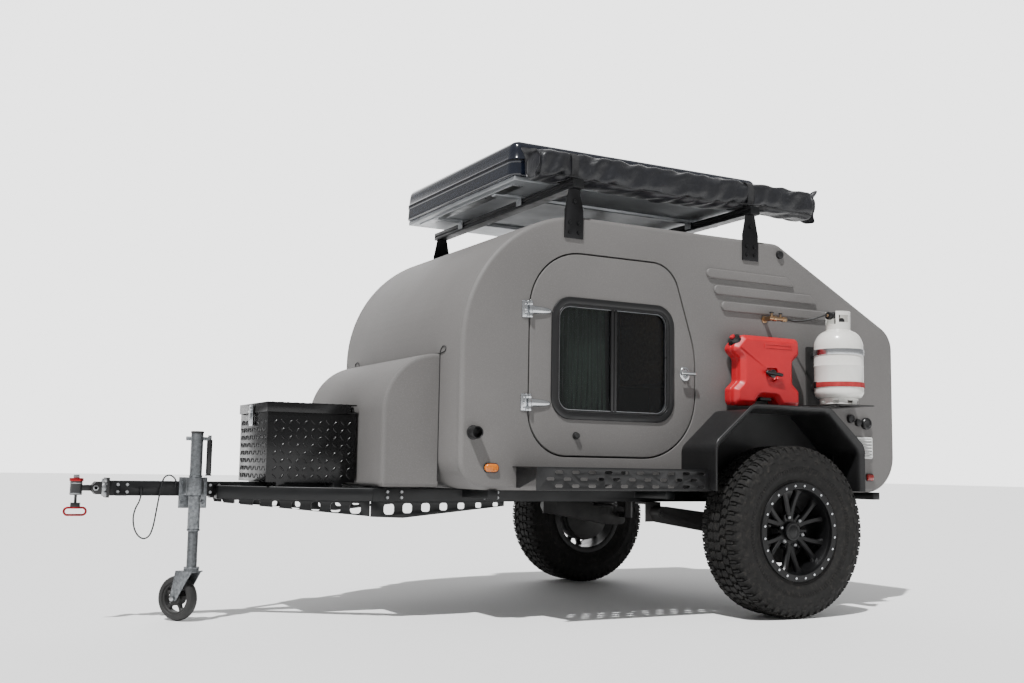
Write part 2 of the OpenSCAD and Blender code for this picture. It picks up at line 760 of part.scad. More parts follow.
// Cross-shaped moulded can with notches at its sides and top and bottom
module fuel_can() color("#a51d20") from_axle() difference() {
    plate(round_box(can_x - can_l / 2, can_x + can_l / 2, can_z, can_z + can_h, 46),
          can_y + fit, can_y + can_w);
    for (s = [-1, 1]) rod_y(can_x + s * (can_l / 2 + 20), can_z + can_h / 2, notch_r,
                            can_y - eps, can_y + can_w + eps);
    rod_y(can_x, can_z - 26, 56, can_y - eps, can_y + can_w + eps);
    rod_y(can_x - 20, can_z + can_h / 2 - 12, 40, can_y + can_w - 22, can_y + can_w + eps);
}

bottle_x = -425;
bottle_y = wall_y + 184;
bottle_r = 126;
bottle_z = fender_top_z + fender_lip + 24;
bottle_h = 492;
collar_r = 62;
collar_low = 420;
tray_t = 6;
band_t = 3;
band_h = 26;
bands = [90, 262];

module gas_bottle() color("#e6e6e4") from_axle() translate([bottle_x, bottle_y, bottle_z])
    difference() {
    rotate_extrude() polygon(concat([[0, 24]],
        [[bottle_r - 30, 24], [bottle_r - 30, 0], [bottle_r - 24, 0], [bottle_r - 24, 30]],
        [for (a = [-60:15:0]) [bottle_r - 40 + 40 * cos(a), 70 + 40 * sin(a)]],
        [for (a = [0:15:75]) [bottle_r - 70 + 70 * cos(a), 300 + 90 * sin(a)]],
        [[collar_r, 400], [collar_r, bottle_h], [collar_r - 6, bottle_h], [collar_r - 6, 408],
         [22, 408], [22, 440], [0, 440]]));
    translate([20, -36, collar_low]) cube([60, 72, bottle_h - collar_low + eps]);
    }

// Can mount, bottle shelf and bottle strap, all bolted to the left wall
module wall_brackets() color("#2a2c2f") from_axle() {
    plate(round_box(can_x - 110, can_x + 110, can_z + 70, can_z + can_h - 60, 20), wall_y, can_y);
    plate(round_box(bottle_x - 60, bottle_x + 60, bottle_z - 40, bottle_z + 320, 10), wall_y,
          wall_y + 8);
    difference() {
        box(bottle_x - 130, bottle_x + 130, wall_y, bottle_y + 120, bottle_z - tray_t - fit,
            bottle_z - fit);
        box(bottle_x - 60, bottle_x + 60, bottle_y - 60, bottle_y + 60, bottle_z - 20, bottle_z);
    }
    for (h = bands) translate([0, 0, bottle_z + h]) difference() {
        union() {
            rod_z(bottle_x, bottle_y, bottle_r + fit + band_t, 0, band_h);
            box(bottle_x - 30, bottle_x + 30, wall_y + 8, bottle_y - bottle_r + 12, 0, band_h);
        }
        rod_z(bottle_x, bottle_y, bottle_r + fit, -eps, band_h + eps);
    }
}

valve_z = bottle_z + 440 + fit;
regulator = [52, 60, 26];
outlet_z = bottle_z + 468;
hose_d = 10;
inlet_x = -180;
inlet_y = wall_y + 60;
inlet_z = 1506;
// Route of the gas hose, chosen by hand: from the regulator's nipple to the coupling on the wall
hose_route = [[-345, 930, 1528], [-333, 930, 1528], [-320, 925, 1524], [-307, 918, 1519],
    [-294, 908, 1514], [-281, 896, 1509], [-268, 882, 1505], [-256, 867, 1502], [-245, 851, 1500],
    [-235, 836, 1500], [-226, 823, 1501], [-216, 813, 1503], [-205, 808, 1505],
    [-193, 806, 1506], [-180, 806, 1506]];

// Regulator on the bottle with its nipple, and the quick coupling on the wall
module gas_line() color("#b08a3e") from_axle() {
    rod_z(bottle_x, bottle_y, 10, valve_z, valve_z + 22 - fit);
    translate([bottle_x + 6, bottle_y - regulator[1] / 2, outlet_z - 12]) cube(regulator);
    rod_x(bottle_y, outlet_z, 8, bottle_x + 6 + regulator[0], hose_route[0][0]);
    rod_x(inlet_y, inlet_z, 14, inlet_x, inlet_x + 120);
    rod_y(inlet_x + 100, inlet_z, 12, wall_y, inlet_y);
}

module gas_hose() color("#101112") from_axle() tube(hose_route, hose_d);

// ---- toolbox --------------------------------------------------------------

tool_rear = pod_front + 16;
tool_front = 2416;
tool_half = 226;
tool_z0 = floor_z + 20;
tool_top = 958;
tool_t = 3;
bearer_w = 40;
lid_gap = 3;
lid_pin_r = 3;
lid_axis = [tool_rear + 8, tool_top + 22];

module toolbox() color("#1d1e20") from_axle() {
    difference() {
        box(tool_rear, tool_front, -tool_half, tool_half, tool_z0, tool_top);
        box(tool_rear + tool_t, tool_front - tool_t, -tool_half + tool_t, tool_half - tool_t,
            tool_z0 + tool_t, tool_top + eps);
    }
    for (x = [tool_rear + 60, tool_front - 50 - bearer_w]) {
        box(x, x + bearer_w, -tool_half, tool_half, beam_top, tool_z0);
        both_sides() box(x, x + bearer_w, beam_w / 2 + fit, tool_half, floor_z, tool_z0);
    }
    rod_y(lid_axis[0], lid_axis[1], lid_pin_r, -200, 200);
    lid_posts();
}

// Posts that carry the lid's pin: feet on the box's rear wall, low enough for the lid's
// rear edge to swing past, and uprights inside its path
module lid_posts() for (y = [-200, 180]) {
    box(tool_rear, tool_rear + 12, y, y + 20, tool_top - eps, tool_top + 8);
    box(tool_rear + 3, tool_rear + 12, y, y + 20, tool_top, lid_axis[1]);
}

module toolbox_lid() color("#1d1e20") from_axle() {
    x0 = tool_rear;
    x1 = tool_front + lid_gap + tool_t;
    y1 = tool_half + lid_gap + tool_t;
    box(x0, x1, -y1, y1, tool_top + 28, tool_top + 34);
    box(x1 - tool_t, x1, -y1, y1, tool_top - 12, tool_top + 28);
    both_sides() box(x0 + 30, x1, y1 - tool_t, y1, tool_top - 12, tool_top + 28);
    difference() {
        box(x0 + 2, x0 + 14, -160, 160, lid_axis[1] - 6, tool_top + 28);
        rod_y(lid_axis[0], lid_axis[1], lid_pin_r + 0.05, -170, 170);
    }
    box(x1, x1 + 8, -24, 24, tool_top - 70, tool_top + 20);
}

// ---- jack -----------------------------------------------------------------

jack_y = 120;
jack_r = jack_d / 2;
jack_top = 841;
jack_low = 400;
leg_r = jack_r - 4;
leg_gap = 0.1;
fork_z = caster_d / 2 + 134;
trail = 70;
fork_half = 31;

module jack_bracket() color("#26282b") from_axle() difference() {
    union() {
        box(jack_x - 72, jack_x + 55, beam_w / 2, beam_w / 2 + 10, 500, 640);
        box(jack_x - 40, jack_x + 40, beam_w / 2 + 10, jack_y, 560, 640);
        rod_z(jack_x, jack_y, jack_r + 10, 560, 640);
    }
    rod_z(jack_x, jack_y, jack_r, 559, 641);
}

module jack_tube() color("#a3a6a8") from_axle() {
    difference() {
        rod_z(jack_x, jack_y, jack_r, jack_low, jack_top);
        rod_z(jack_x, jack_y, leg_r + leg_gap, jack_low - eps, jack_top - 10);
    }
    rod_x(jack_y, jack_top - 26, 9, jack_x + jack_r - 3, jack_x + jack_r + 22);
    box(jack_x - 30 - jack_r, jack_x - jack_r + 1, jack_y - 8, jack_y + 8, jack_top - 34,
        jack_top - 18);
    rod_z(jack_x - 30 - jack_r, jack_y, 8, jack_top - 190, jack_top - 10);
}

module jack_leg() color("#b4b7b9") from_axle() {
    rod_z(jack_x, jack_y, leg_r, fork_z + 8, 640);
    rod_z(jack_x, jack_y, 34, fork_z, fork_z + 8);
}

module at_caster() translate([jack_x, jack_y, 0]) rotate([0, 0, caster_turn]) children();

module caster_fork() color("#8f9294") from_axle() at_caster() {
    rod_z(0, 0, 34, fork_z - 10, fork_z - fit);
    box(-34, 60, -fork_half - 5, fork_half + 5, fork_z - 16, fork_z - 10);
    for (s = [-1, 1]) {
        y0 = s > 0 ? fork_half : -fork_half - 5;
        plate(rounded([[-30, fork_z - 10, 0], [60, fork_z - 10, 0],
            [trail + 18, caster_d / 2 - 10, 14], [trail - 18, caster_d / 2 - 10, 14]]),
            y0, y0 + 5);
    }
    rod_y(trail, caster_d / 2, 8, -fork_half, fork_half);
}

module caster_wheel() color("#141516") from_axle() at_caster() difference() {
    translate([trail, 0, caster_d / 2]) rotate([90, 0, 0]) rotate_extrude()
        polygon(rounded([[8.1, -25, 2], [30, -25, 2], [34, -10, 4], [66, -10, 4], [72, -25, 6],
            [caster_d / 2, -22, 12], [caster_d / 2, 22, 12], [72, 25, 6], [66, 10, 4],
            [34, 10, 4], [30, 25, 2], [8.1, 25, 2]]));
    for (i = [0:4]) translate([trail, 0, caster_d / 2]) rotate([90, 72 * i, 0])
        translate([50, 0, -30]) cylinder(h = 60, r = 11);
}

// ---- coupler --------------------------------------------------------------

swivel_r = 14;
pitch_x = coupler_x - 78;
ear_y = 12;

module coupler_yoke() color("#1b1c1e") from_axle() difference() {
    union() {
        box(beam_end, beam_end + 12, -46, 46, coupler_z - 42, coupler_z + 46);
        rod_x(0, coupler_z, 30, beam_end + 12, beam_end + 26);
    }
    rod_x(0, coupler_z, swivel_r + hub_gap, beam_end + 2, beam_end + 27);
}

module coupler_block() color("#141516") from_axle() {
    rod_x(0, coupler_z, swivel_r, beam_end + 4, beam_end + 30);
    box(beam_end + 30, beam_end + 38, -28, 28, coupler_z - 28, coupler_z + 28);
    both_sides() plate(rounded([[beam_end + 36, coupler_z - 28, 0], [pitch_x, coupler_z - 28, 0],
        [pitch_x + 24, coupler_z, 20], [pitch_x, coupler_z + 28, 0],
        [beam_end + 36, coupler_z + 28, 0]]), ear_y, 28);
    rod_y(pitch_x, coupler_z, 8, -28, 28);
}

module coupler_receiver() color("#17181a") from_axle() {
    difference() {
        union() {
            rod_y(pitch_x, coupler_z, 13, -ear_y + 0.5, ear_y - 0.5);
            box(pitch_x, coupler_x - 20, -ear_y + 0.5, ear_y - 0.5, coupler_z - 13,
                coupler_z + 13);
        }
        rod_y(pitch_x, coupler_z, 8.05, -ear_y - eps, ear_y + eps);
    }
    rod_z(coupler_x, 0, 26, coupler_z - 31, coupler_z + 30);
    rod_z(coupler_x, 0, 29, coupler_z + 30, coupler_z + 42);
    rod_z(coupler_x, 0, 12, coupler_z + 42, coupler_z + 57);
    rod_z(coupler_x, 0, 6, coupler_z - 65, coupler_z - 31);
    rod_z(coupler_x, 0, 21, coupler_z - 88, coupler_z - 65);
    difference() {
        plate(round_box(coupler_x - ring_r, coupler_x + ring_r, coupler_z - 123, coupler_z - 83,
                        19.9), -4, 4);
        plate(round_box(coupler_x - ring_r + 8, coupler_x + ring_r - 8, coupler_z - 115,
                        coupler_z - 91, 11.9), -5, 5);
    }
}

// ---- breakaway cable ------------------------------------------------------

cable_d = 7;
cable_sides = 8;
gland_l = 18;
// Route of the cable, chosen by hand: out of the beam, down in a loop and back over the beam
cable_route = [[2930, 46, 574], [2930, 46, 556], [2937, 50, 530], [2952, 56, 500], [2960, 57, 465],
    [2958, 57, 430], [2948, 57, 398], [2930, 57, 374], [2908, 57, 366], [2888, 57, 378],
    [2876, 56, 404], [2868, 55, 440], [2862, 54, 480], [2856, 53, 520], [2850, 52, 560],
    [2843, 51, 600], [2835, 50, 630], [2822, 49, 645], [2806, 48, 648], [2793, 47, 642],
    [2783, 46, 632], [2778, 46, 620], [2778, 46, 612]];

function ring_at(p, t, d) =
    let (side = unit(cross(t, [0, 1, 0])), up = cross(side, t))
    [for (k = [0:cable_sides - 1]) let (a = 360 * k / cable_sides)
        p + d / 2 * (cos(a) * side + sin(a) * up)];

module tube(route, d) {
    n = len(route);
    rings = [for (i = [0:n - 1])
        each ring_at(route[i], unit(route[min(i + 1, n - 1)] - route[max(i - 1, 0)]), d)];
    m = cable_sides;
    walls = [for (i = [0:n - 2]) for (k = [0:m - 1])
        [i * m + k, i * m + (k + 1) % m, (i + 1) * m + (k + 1) % m, (i + 1) * m + k]];
    ends = [[for (k = [m - 1:-1:0]) k], [for (k = [0:m - 1]) (n - 1) * m + k]];
    polyhedron(points = rings, faces = concat(walls, ends), convexity = 6);
}

module breakaway_cable() color("#0e0f10") from_axle() tube(cable_route, cable_d);

// ---- assembly -------------------------------------------------------------

chassis_frame();
drawbar();
a_frame();
truss_webs();
suspension_left();
suspension_right();
cabin_floor();
wall_left();
wall_right();
roof_skin();
rear_panel();
bulkhead();
galley_shelves();
front_pod();
mattress();
fender_left();
fender_right();
step_left();
step_right();
fixed_hinges();
wall_fittings();
lights();
number_plate();
roof_rack();
roof_vent();
tent_base();
tent_shell();
awning_bag();
fuel_can();
wall_brackets();
gas_bottle();
gas_line();
gas_hose();
toolbox();
toolbox_lid();
jack_bracket();
jack_tube();
jack_leg();
caster_fork();
caster_wheel();
coupler_yoke();
coupler_block();
coupler_receiver();
breakaway_cable();
tyre_left();
rim_left();
tyre_right();
rim_right();
door_left();
window_frame_left();
glass_left();
door_fittings_left();
curtain_left();
door_right();
window_frame_right();
glass_right();
door_fittings_right();
curtain_right();
hatch();
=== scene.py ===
"""An off-road teardrop trailer: its visible surfaces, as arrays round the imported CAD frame.

Lengths inside the sections are millimetres in the trailer's own frame: X ahead of the axle, Y to
the left, Z up. Every shape is one of these:
- a ring surface: closed rings of n points, ring j joined to ring j + 1 by four-sided faces;
- a rounded outline: each corner (x, z, r) becomes an arc of radius r tangent to its two sides, and
  the whole outline moves inwards by t when each corner slides along its bisector by
  t / sin(half angle);
- a turned surface: a profile (r, h) carried round an axis, at radius r and height h;
- a pipe: a circle of radius r carried along a path, its frame turned as little as possible.
"""

import json
import math

import bmesh
import bpy
import numpy as np
from mathutils import Matrix, Vector

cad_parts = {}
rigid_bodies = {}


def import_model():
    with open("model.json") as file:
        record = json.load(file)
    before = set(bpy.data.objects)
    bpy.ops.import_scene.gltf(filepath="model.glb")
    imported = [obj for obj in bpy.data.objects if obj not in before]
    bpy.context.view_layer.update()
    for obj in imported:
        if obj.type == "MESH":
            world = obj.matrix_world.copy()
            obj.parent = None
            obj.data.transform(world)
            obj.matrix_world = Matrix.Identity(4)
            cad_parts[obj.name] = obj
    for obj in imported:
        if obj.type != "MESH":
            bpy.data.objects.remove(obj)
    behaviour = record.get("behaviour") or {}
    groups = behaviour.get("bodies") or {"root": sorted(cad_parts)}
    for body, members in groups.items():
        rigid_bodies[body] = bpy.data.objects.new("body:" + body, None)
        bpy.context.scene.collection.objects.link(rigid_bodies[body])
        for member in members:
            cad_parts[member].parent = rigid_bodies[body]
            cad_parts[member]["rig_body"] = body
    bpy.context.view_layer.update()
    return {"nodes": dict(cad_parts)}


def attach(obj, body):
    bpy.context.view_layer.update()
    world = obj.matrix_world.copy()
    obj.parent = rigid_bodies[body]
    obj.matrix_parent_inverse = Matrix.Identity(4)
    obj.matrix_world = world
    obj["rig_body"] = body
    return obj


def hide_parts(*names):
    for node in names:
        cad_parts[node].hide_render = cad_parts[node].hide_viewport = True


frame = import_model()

# ---------------------------------------------------------------------------
# Viewpoint. The camera stands ahead of the left door at chest height,
# turned 28.5 degrees from the side and tipped a little upwards.
# ---------------------------------------------------------------------------
view_azimuth, view_elevation, view_roll = (math.radians(a) for a in (28.517, -6.183, 0.953))
back = Vector((math.sin(view_azimuth) * math.cos(view_elevation),
               math.cos(view_azimuth) * math.cos(view_elevation), math.sin(view_elevation)))
right = (-back).cross(Vector((0, 0, 1))).normalized()
up = right.cross(-back)
right, up = (right * math.cos(view_roll) + up * math.sin(view_roll),
             up * math.cos(view_roll) - right * math.sin(view_roll))
camera = bpy.data.objects.new("camera", bpy.data.cameras.new("camera"))
camera.data.lens, camera.data.sensor_width = 40.76, 36.0
camera.data.clip_end = 200
camera.matrix_world = Matrix.Translation((2.871, 5.442, 0.710)) @ Matrix(
    (right, up, back)).transposed().to_4x4()
bpy.context.scene.collection.objects.link(camera)
bpy.context.scene.camera = camera

# ---------------------------------------------------------------------------
# Breakaway cable: PVC-covered steel rope that pulls the brake switch if the coupling fails.
# It leaves a gland on the beam, hangs in one loop and goes back into a second gland.
# ---------------------------------------------------------------------------
axle = np.array([1111.0, 0, 0])  # the axle lies this far behind the middle of the trailer


def place(points):
    """Trailer millimetres to metres in the shared frame: (p - axle) / 1000."""
    return (np.asarray(points, float) - axle) / 1000


def linear(hex_colour):
    """sRGB hex to linear: c / 12.92 below 0.04045, ((c + 0.055) / 1.055) ** 2.4 above."""
    c = [int(hex_colour[i:i + 2], 16) / 255 for i in (1, 3, 5)]
    return [x / 12.92 if x <= 0.04045 else ((x + 0.055) / 1.055) ** 2.4 for x in c] + [1]


def new_material(name, **sockets):
    """A Principled material with these of the shader's own sockets set."""
    material = bpy.data.materials.new(name)
    material.use_nodes = True
    shader = material.node_tree.nodes["Principled BSDF"]
    for socket, value in sockets.items():
        shader.inputs[socket.replace("_", " ")].default_value = value
    return material


def add(material, kind, inputs=(), feeds=None, **settings):
    """A node with its settings and its inputs, values or sockets, linked to the shader socket it
    feeds."""
    tree = material.node_tree
    made = tree.nodes.new(kind)
    for key, value in settings.items():
        setattr(made, key, value)
    for key, value in dict(inputs).items():
        if isinstance(value, bpy.types.NodeSocket):
            tree.links.new(value, made.inputs[key])
        else:
            made.inputs[key].default_value = value
    if feeds:
        tree.links.new(made.outputs[0], tree.nodes["Principled BSDF"].inputs[feeds])
    return made


def ramp(material, factor, stops, feeds=None):
    """A colour ramp through stops of (position, hex or grey level)."""
    made = add(material, "ShaderNodeValToRGB", {"Fac": factor}, feeds)
    while len(made.color_ramp.elements) < len(stops):
        made.color_ramp.elements.new(0.5)
    for element, (position, colour) in zip(made.color_ramp.elements, stops):
        element.position = position
        element.color = linear(colour) if isinstance(colour, str) else [colour] * 3 + [1]
    return made.outputs[0]


def coated(name, dark, light, rough, grain_mm, depth_mm, patch_mm=300, rough_spread=0.08,
    **sockets):
    """A sprayed, moulded or cast surface: patches of patch_mm between two colours, grain of
    grain_mm raised by depth_mm, and roughness that varies with the patches."""
    material = new_material(name, **sockets)
    place_of = add(material, "ShaderNodeTexCoord").outputs["Object"]
    patches = add(material, "ShaderNodeTexNoise", {"Vector": place_of, "Scale": 1000 / patch_mm,
                                                   "Detail": 6, "Roughness": 0.6}).outputs[0]
    ramp(material, patches, [(0.3, dark), (0.7, light)], "Base Color")
    ramp(material, patches, [(0.3, rough + rough_spread), (0.7, max(rough - rough_spread, 0.02))],
         "Roughness")
    grain = add(material, "ShaderNodeTexNoise", {"Vector": place_of, "Scale": 1000 / grain_mm,
                                                 "Detail": 3, "Roughness": 0.55}).outputs[0]
    add(material, "ShaderNodeBump", {"Height": grain, "Distance": depth_mm / 1000,
                                     "Strength": 1.0}, "Normal")
    return material


# PVC over steel rope: black, slightly glossy, with the lay of the strands just showing
cable_jacket = coated("black_pvc_cable_jacket", "#131314", "#1b1b1d", 0.38, 3.0, 0.12, 40)

cable_route = place([
    [2930, 46, 574], [2930, 46, 556], [2937, 50, 530], [2952, 56, 500], [2960, 57, 465],
    [2958, 57, 430], [2948, 57, 398], [2930, 57, 374], [2908, 57, 366], [2888, 57, 378],
    [2876, 56, 404], [2868, 55, 440], [2862, 54, 480], [2856, 53, 520], [2850, 52, 560],
    [2843, 51, 600], [2835, 50, 630], [2822, 49, 645], [2806, 48, 648], [2793, 47, 642],
    [2783, 46, 632], [2778, 46, 620], [2778, 46, 612]])


def unit(v):
    """Vectors divided by their lengths: v / |v|."""
    return v / np.linalg.norm(v, axis=-1, keepdims=True)


def full_turn(count):
    """So many even angles of a full turn: 2 pi i / count."""
    return np.linspace(0, 2 * np.pi, count, endpoint=False)


def catmull(points, steps):
    """A smooth line through points: the Catmull-Rom cubic
    p1 + u (p2 - p0) / 2 + u2 (p0 - 2.5 p1 + 2 p2 - p3 / 2) + u3 (p3 - p0 + 3 (p1 - p2)) / 2."""
    p = np.concatenate([[2 * points[0] - points[1]], points, [2 * points[-1] - points[-2]]])
    u = (np.arange(steps) / steps)[None, :, None]
    a, b, c, d = (p[i:len(p) - 3 + i, None] for i in range(4))
    line = b + u * (c - a) / 2 + u**2 * (a - 2.5 * b + 2 * c - d / 2) + u**3 * (d - a + 3
        * (b - c)) / 2
    return np.concatenate([line.reshape(-1, 3), points[-1:]])


def frames_along(path):
    """Two directions across a path at each point, carried forward with the least turning:
    each is the one before less its part along the path."""
    t = unit(np.gradient(path, axis=0))
    across = [unit(np.cross(t[0], [0.3, 0.2, 0.93] if abs(t[0][2]) < 0.9 else [1, 0.1, 0]))]
    for tangent in t[1:]:
        across.append(unit(across[-1] - tangent * (across[-1] @ tangent)))
    across = np.array(across)
    return across, np.cross(t, across)


def tube(path, radius, sides=16):
    """Rings of a pipe: centre + radius (cos a * across + sin a * other)."""
    u, v = frames_along(path)
    a = full_turn(sides)[None, :, None]
    return path[:, None] + radius * (np.cos(a) * u[:, None] + np.sin(a) * v[:, None])


def ring_faces(m, n, loop=False, caps=(True, True), open_rings=False, first=0):
    """Faces of m rings of n points: (j, i) (j, i + 1) (j + 1, i + 1) (j + 1, i), and flat caps."""
    j, i = np.meshgrid(np.arange(m if loop else m - 1), np.arange(n - 1 if open_rings else n),
                       indexing="ij")
    k, l = (j + 1) % m, (i + 1) % n
    quads = np.stack([j * n + i, j * n + l, k * n + l, k * n + i], -1).reshape(-1, 4) + first
    ends = [] if loop else [list(range(first + n - 1, first - 1, -1))] * bool(caps[0]) \
        + [list(range(first + (m - 1) * n, first + m * n))] * bool(caps[1])
    return quads.tolist() + ends


def piece(name, shapes, material, body, slot, stands_for=(), sharp=32, closed=True,
          mirrored=False):
    """One mesh in the shared frame from shapes: rings, (rings, options) or (points, faces)."""
    points, faces, first = [], [], 0
    for shape in shapes:
        rings, options = shape if isinstance(shape, tuple) else (shape, {})
        if isinstance(options, dict):
            m, n = rings.shape[:2]
            faces += ring_faces(m, n, first=first, **options)
        else:
            faces += [[first + v for v in f] for f in options]
        flat = np.asarray(rings, float).reshape(-1, 3)
        points.append(flat)
        first += len(flat)
    co = np.concatenate(points) * ([1, -1, 1] if mirrored else [1, 1, 1])
    mesh = bpy.data.meshes.new(name)
    mesh.from_pydata(place(co), [], faces)
    if closed:
        shell = bmesh.new()
        shell.from_mesh(mesh)
        bmesh.ops.remove_doubles(shell, verts=shell.verts, dist=2e-5)
        bmesh.ops.dissolve_degenerate(shell, edges=shell.edges, dist=1e-5)
        bmesh.ops.recalc_face_normals(shell, faces=shell.faces)
        shell.to_mesh(mesh)
        shell.free()
    mesh.shade_smooth()
    mesh.set_sharp_from_angle(angle=math.radians(sharp))
    mesh.materials.append(material)
    made = bpy.data.objects.new(name, mesh)
    bpy.context.scene.collection.objects.link(made)
    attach(made, body)
    if stands_for:
        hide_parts(*([stands_for] if isinstance(stands_for, str) else stands_for))
    return made


cable_line = catmull(cable_route, 6)
cable = piece("breakaway_rope", [tube(cable_line * 1000 + axle, 3.5, 12)], cable_jacket, "trailer",
              "cable_jacket", "breakaway_cable", sharp=60)

# ---------------------------------------------------------------------------
# Chassis: welded rectangular steel tube with a laser-cut web under each rail, powder coated satin
# black. The drawbar is one tube on the centre line, braced by two rails of an A-frame.
# ---------------------------------------------------------------------------
# Satin powder coat over steel: even black with a soft sheen and faint orange peel
frame_coat = coated("satin_black_powder_coat", "#08090a", "#0f1011", 0.36, 4.0, 0.08, 180,
                    Specular_IOR_Level=0.35)


def eased(node, material, width=1.2):
    """The CAD piece with its arrises eased: doubles merged, each flat face made one,
    and every edge sharper than 40 degrees bevelled by width millimetres."""
    source = frame["nodes"][node]
    mesh = source.data.copy()
    shell = bmesh.new()
    shell.from_mesh(mesh)
    bmesh.ops.remove_doubles(shell, verts=shell.verts, dist=2e-5)
    bmesh.ops.dissolve_limit(shell, angle_limit=0.004, verts=shell.verts, edges=shell.edges)
    sharp_edges = [e for e in shell.edges
                   if len(e.link_faces) == 2 and e.calc_face_angle(0) > math.radians(40)]
    bmesh.ops.bevel(shell, geom=sharp_edges, offset=width / 1000, segments=2, profile=0.5,
                    affect="EDGES", clamp_overlap=True)
    bmesh.ops.dissolve_degenerate(shell, edges=shell.edges, dist=1e-6)
    shell.to_mesh(mesh)
    shell.free()
    mesh.shade_smooth()
    mesh.set_sharp_from_angle(angle=math.radians(32))
    mesh.materials.clear()
    mesh.materials.append(material)
    made = bpy.data.objects.new(node + "_finished", mesh)
    bpy.context.scene.collection.objects.link(made)
    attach(made, source["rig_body"])
    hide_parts(node)


eased("chassis_frame", frame_coat, 3)
eased("drawbar", frame_coat, 2.5)
eased("a_frame", frame_coat, 3)
eased("truss_webs", frame_coat, 0.8)


def bolts(centres, axis, radius, height, sides=6, cone=0.86):
    """Bolt heads: prisms of so many sides standing on points, along an axis, with eased tops."""
    axis = np.asarray(axis, float)
    u = unit(np.cross(axis, [0.31, 0.5, 0.81]))
    a = full_turn(sides)[:, None]
    circle = np.cos(a) * u + np.sin(a) * np.cross(axis, u)
    rings = [(radius, -0.5), (radius, height * 0.75), (radius * cone, height)]
    return [np.stack([np.asarray(c, float) + circle * r + axis * h for r, h in rings])
            for c in centres]


# Zinc-plated steel: pale grey, dull, a little yellow in the hollows
zinc_plate = coated("zinc_plated_steel", "#8f9091", "#b4b6b8", 0.36, 2.5, 0.05, 25, Metallic=1.0)
piece("frame_bolts", bolts([[x, 476, z] for x in (1350, 1420, 1850, 1920) for z in (562, 588)],
                           (0, 1, 0), 8, 7)
      + bolts([[x, 39, z] for x in (2580, 2620, 2990, 3030) for z in (572, 604)], (0, 1, 0), 8, 7),
      zinc_plate, "trailer", "zinc")

# ---------------------------------------------------------------------------
# Independent suspension: pressed trailing arms, coil springs and dampers, painted chassis black.
# The coil is wound spring steel round a bump tube.
# ---------------------------------------------------------------------------
chassis_paint = coated("chassis_black_paint", "#121212", "#232120", 0.55, 6.0, 0.2, 90)
for side in ("left", "right"):
    eased("suspension_" + side, chassis_paint, 2)


def pair(name, shapes, material, body, slot, stands_for="", **options):
    """A piece on the left and its mirror image (x, -y, z) on the right; names, and a body that ends
    in _, take the side."""
    for side in ("left", "right"):
        piece(name + side, shapes, material, body + side if body[-1] == "_" else body, slot,
              stands_for and stands_for + side, mirrored=side == "right", **options)


# Five turns of 14 mm wire on a radius of 66 mm, rising 112 mm
winding = np.linspace(0, 5 * 2 * np.pi, 150)
coil = np.stack([60 + 66 * np.cos(winding), 560 + 66 * np.sin(winding),
                 488 - 16 + 112 * winding / winding[-1]], -1)
pair("spring_", [tube(coil, 7, 8)], chassis_paint, "trailer", "suspension_steel", sharp=80)

# ---------------------------------------------------------------------------
# Cabin shell: aluminium-faced composite panels, the side walls flat and the roof bent over the
# front, all sprayed with a fine-textured warm grey polyurethane and rounded at the wall edges.
# ---------------------------------------------------------------------------
def rounded(corners, inset=0, steps=12):
    """Rounded outline: corner i slides inwards by inset / sin(half angle) along its bisector; the
    arc of radius r there turns from the first tangent point to the second."""
    c = np.array(corners, float)
    p, r = c[:, :2], np.maximum(c[:, 2:] - inset * (c[:, 2:] > 0), 0.2)
    u, v = unit(np.roll(p, 1, 0) - p), unit(np.roll(p, -1, 0) - p)
    half = np.arccos(np.clip((u * v).sum(1, keepdims=True), -1, 1)) / 2
    p = p + unit(u + v) * inset / np.sin(half)
    m = p + unit(u + v) * r / np.sin(half)
    a, b = p + u * r / np.tan(half) - m, p + v * r / np.tan(half) - m
    sweep, k = (np.pi - 2 * half)[:, :, None], np.linspace(0, 1, steps + 1)[None, :, None]
    arc = (np.sin((1 - k) * sweep) * a[:, None] + np.sin(k * sweep) * b[:, None]) / np.sin(sweep)
    return (m[:, None] + arc).reshape(-1, 2)


def on_rays(outline, centre, angles):
    """Where rays from centre cross an outline: on the side from a to b that a ray crosses,
    (a + s (b - a)) x direction = 0."""
    q = outline - centre
    at = np.arctan2(q[:, 1], q[:, 0])
    order = np.argsort(at)
    at, q = at[order], q[order]
    keep = np.append(np.diff(at) > 1e-7, True)
    at, q = at[keep], q[keep]
    at = np.concatenate([at[-1:] - 2 * np.pi, at, at[:1] + 2 * np.pi])
    q = np.concatenate([q[-1:], q, q[:1]])
    i = np.clip(np.searchsorted(at, angles, side="right") - 1, 0, len(at) - 2)
    a, b, d = q[i], q[i + 1], np.stack([np.cos(angles), np.sin(angles)], -1)
    def cross(m, n):
        return m[:, 0] * n[:, 1] - m[:, 1] * n[:, 0]
    return centre + a + (cross(a, d) / cross(a - b, d))[:, None] * (b - a)


def ray_angles(outlines, centre, extra=72):
    """The directions of all corners of these outlines from centre, and extra even ones."""
    at = [np.arctan2(o[:, 1] - centre[1], o[:, 0] - centre[0]) for o in outlines]
    at.append(np.linspace(-np.pi, np.pi, extra, endpoint=False))
    return np.unique(np.round(np.concatenate(at), 4))


def upright(outline, y):
    """An (x, z) outline standing at one y, or at one y for each point."""
    return np.stack([outline[:, 0], np.broadcast_to(y, len(outline)), outline[:, 1]], -1)


def cabin(inset=0, steps=26):
    """Side outline of the cabin."""
    return rounded([[1689, 604, 145], [1689, 1922, 650], [-181, 1922, 100], [-1018, 1483, 140],
                    [-1018, 604, 200]], inset, steps)


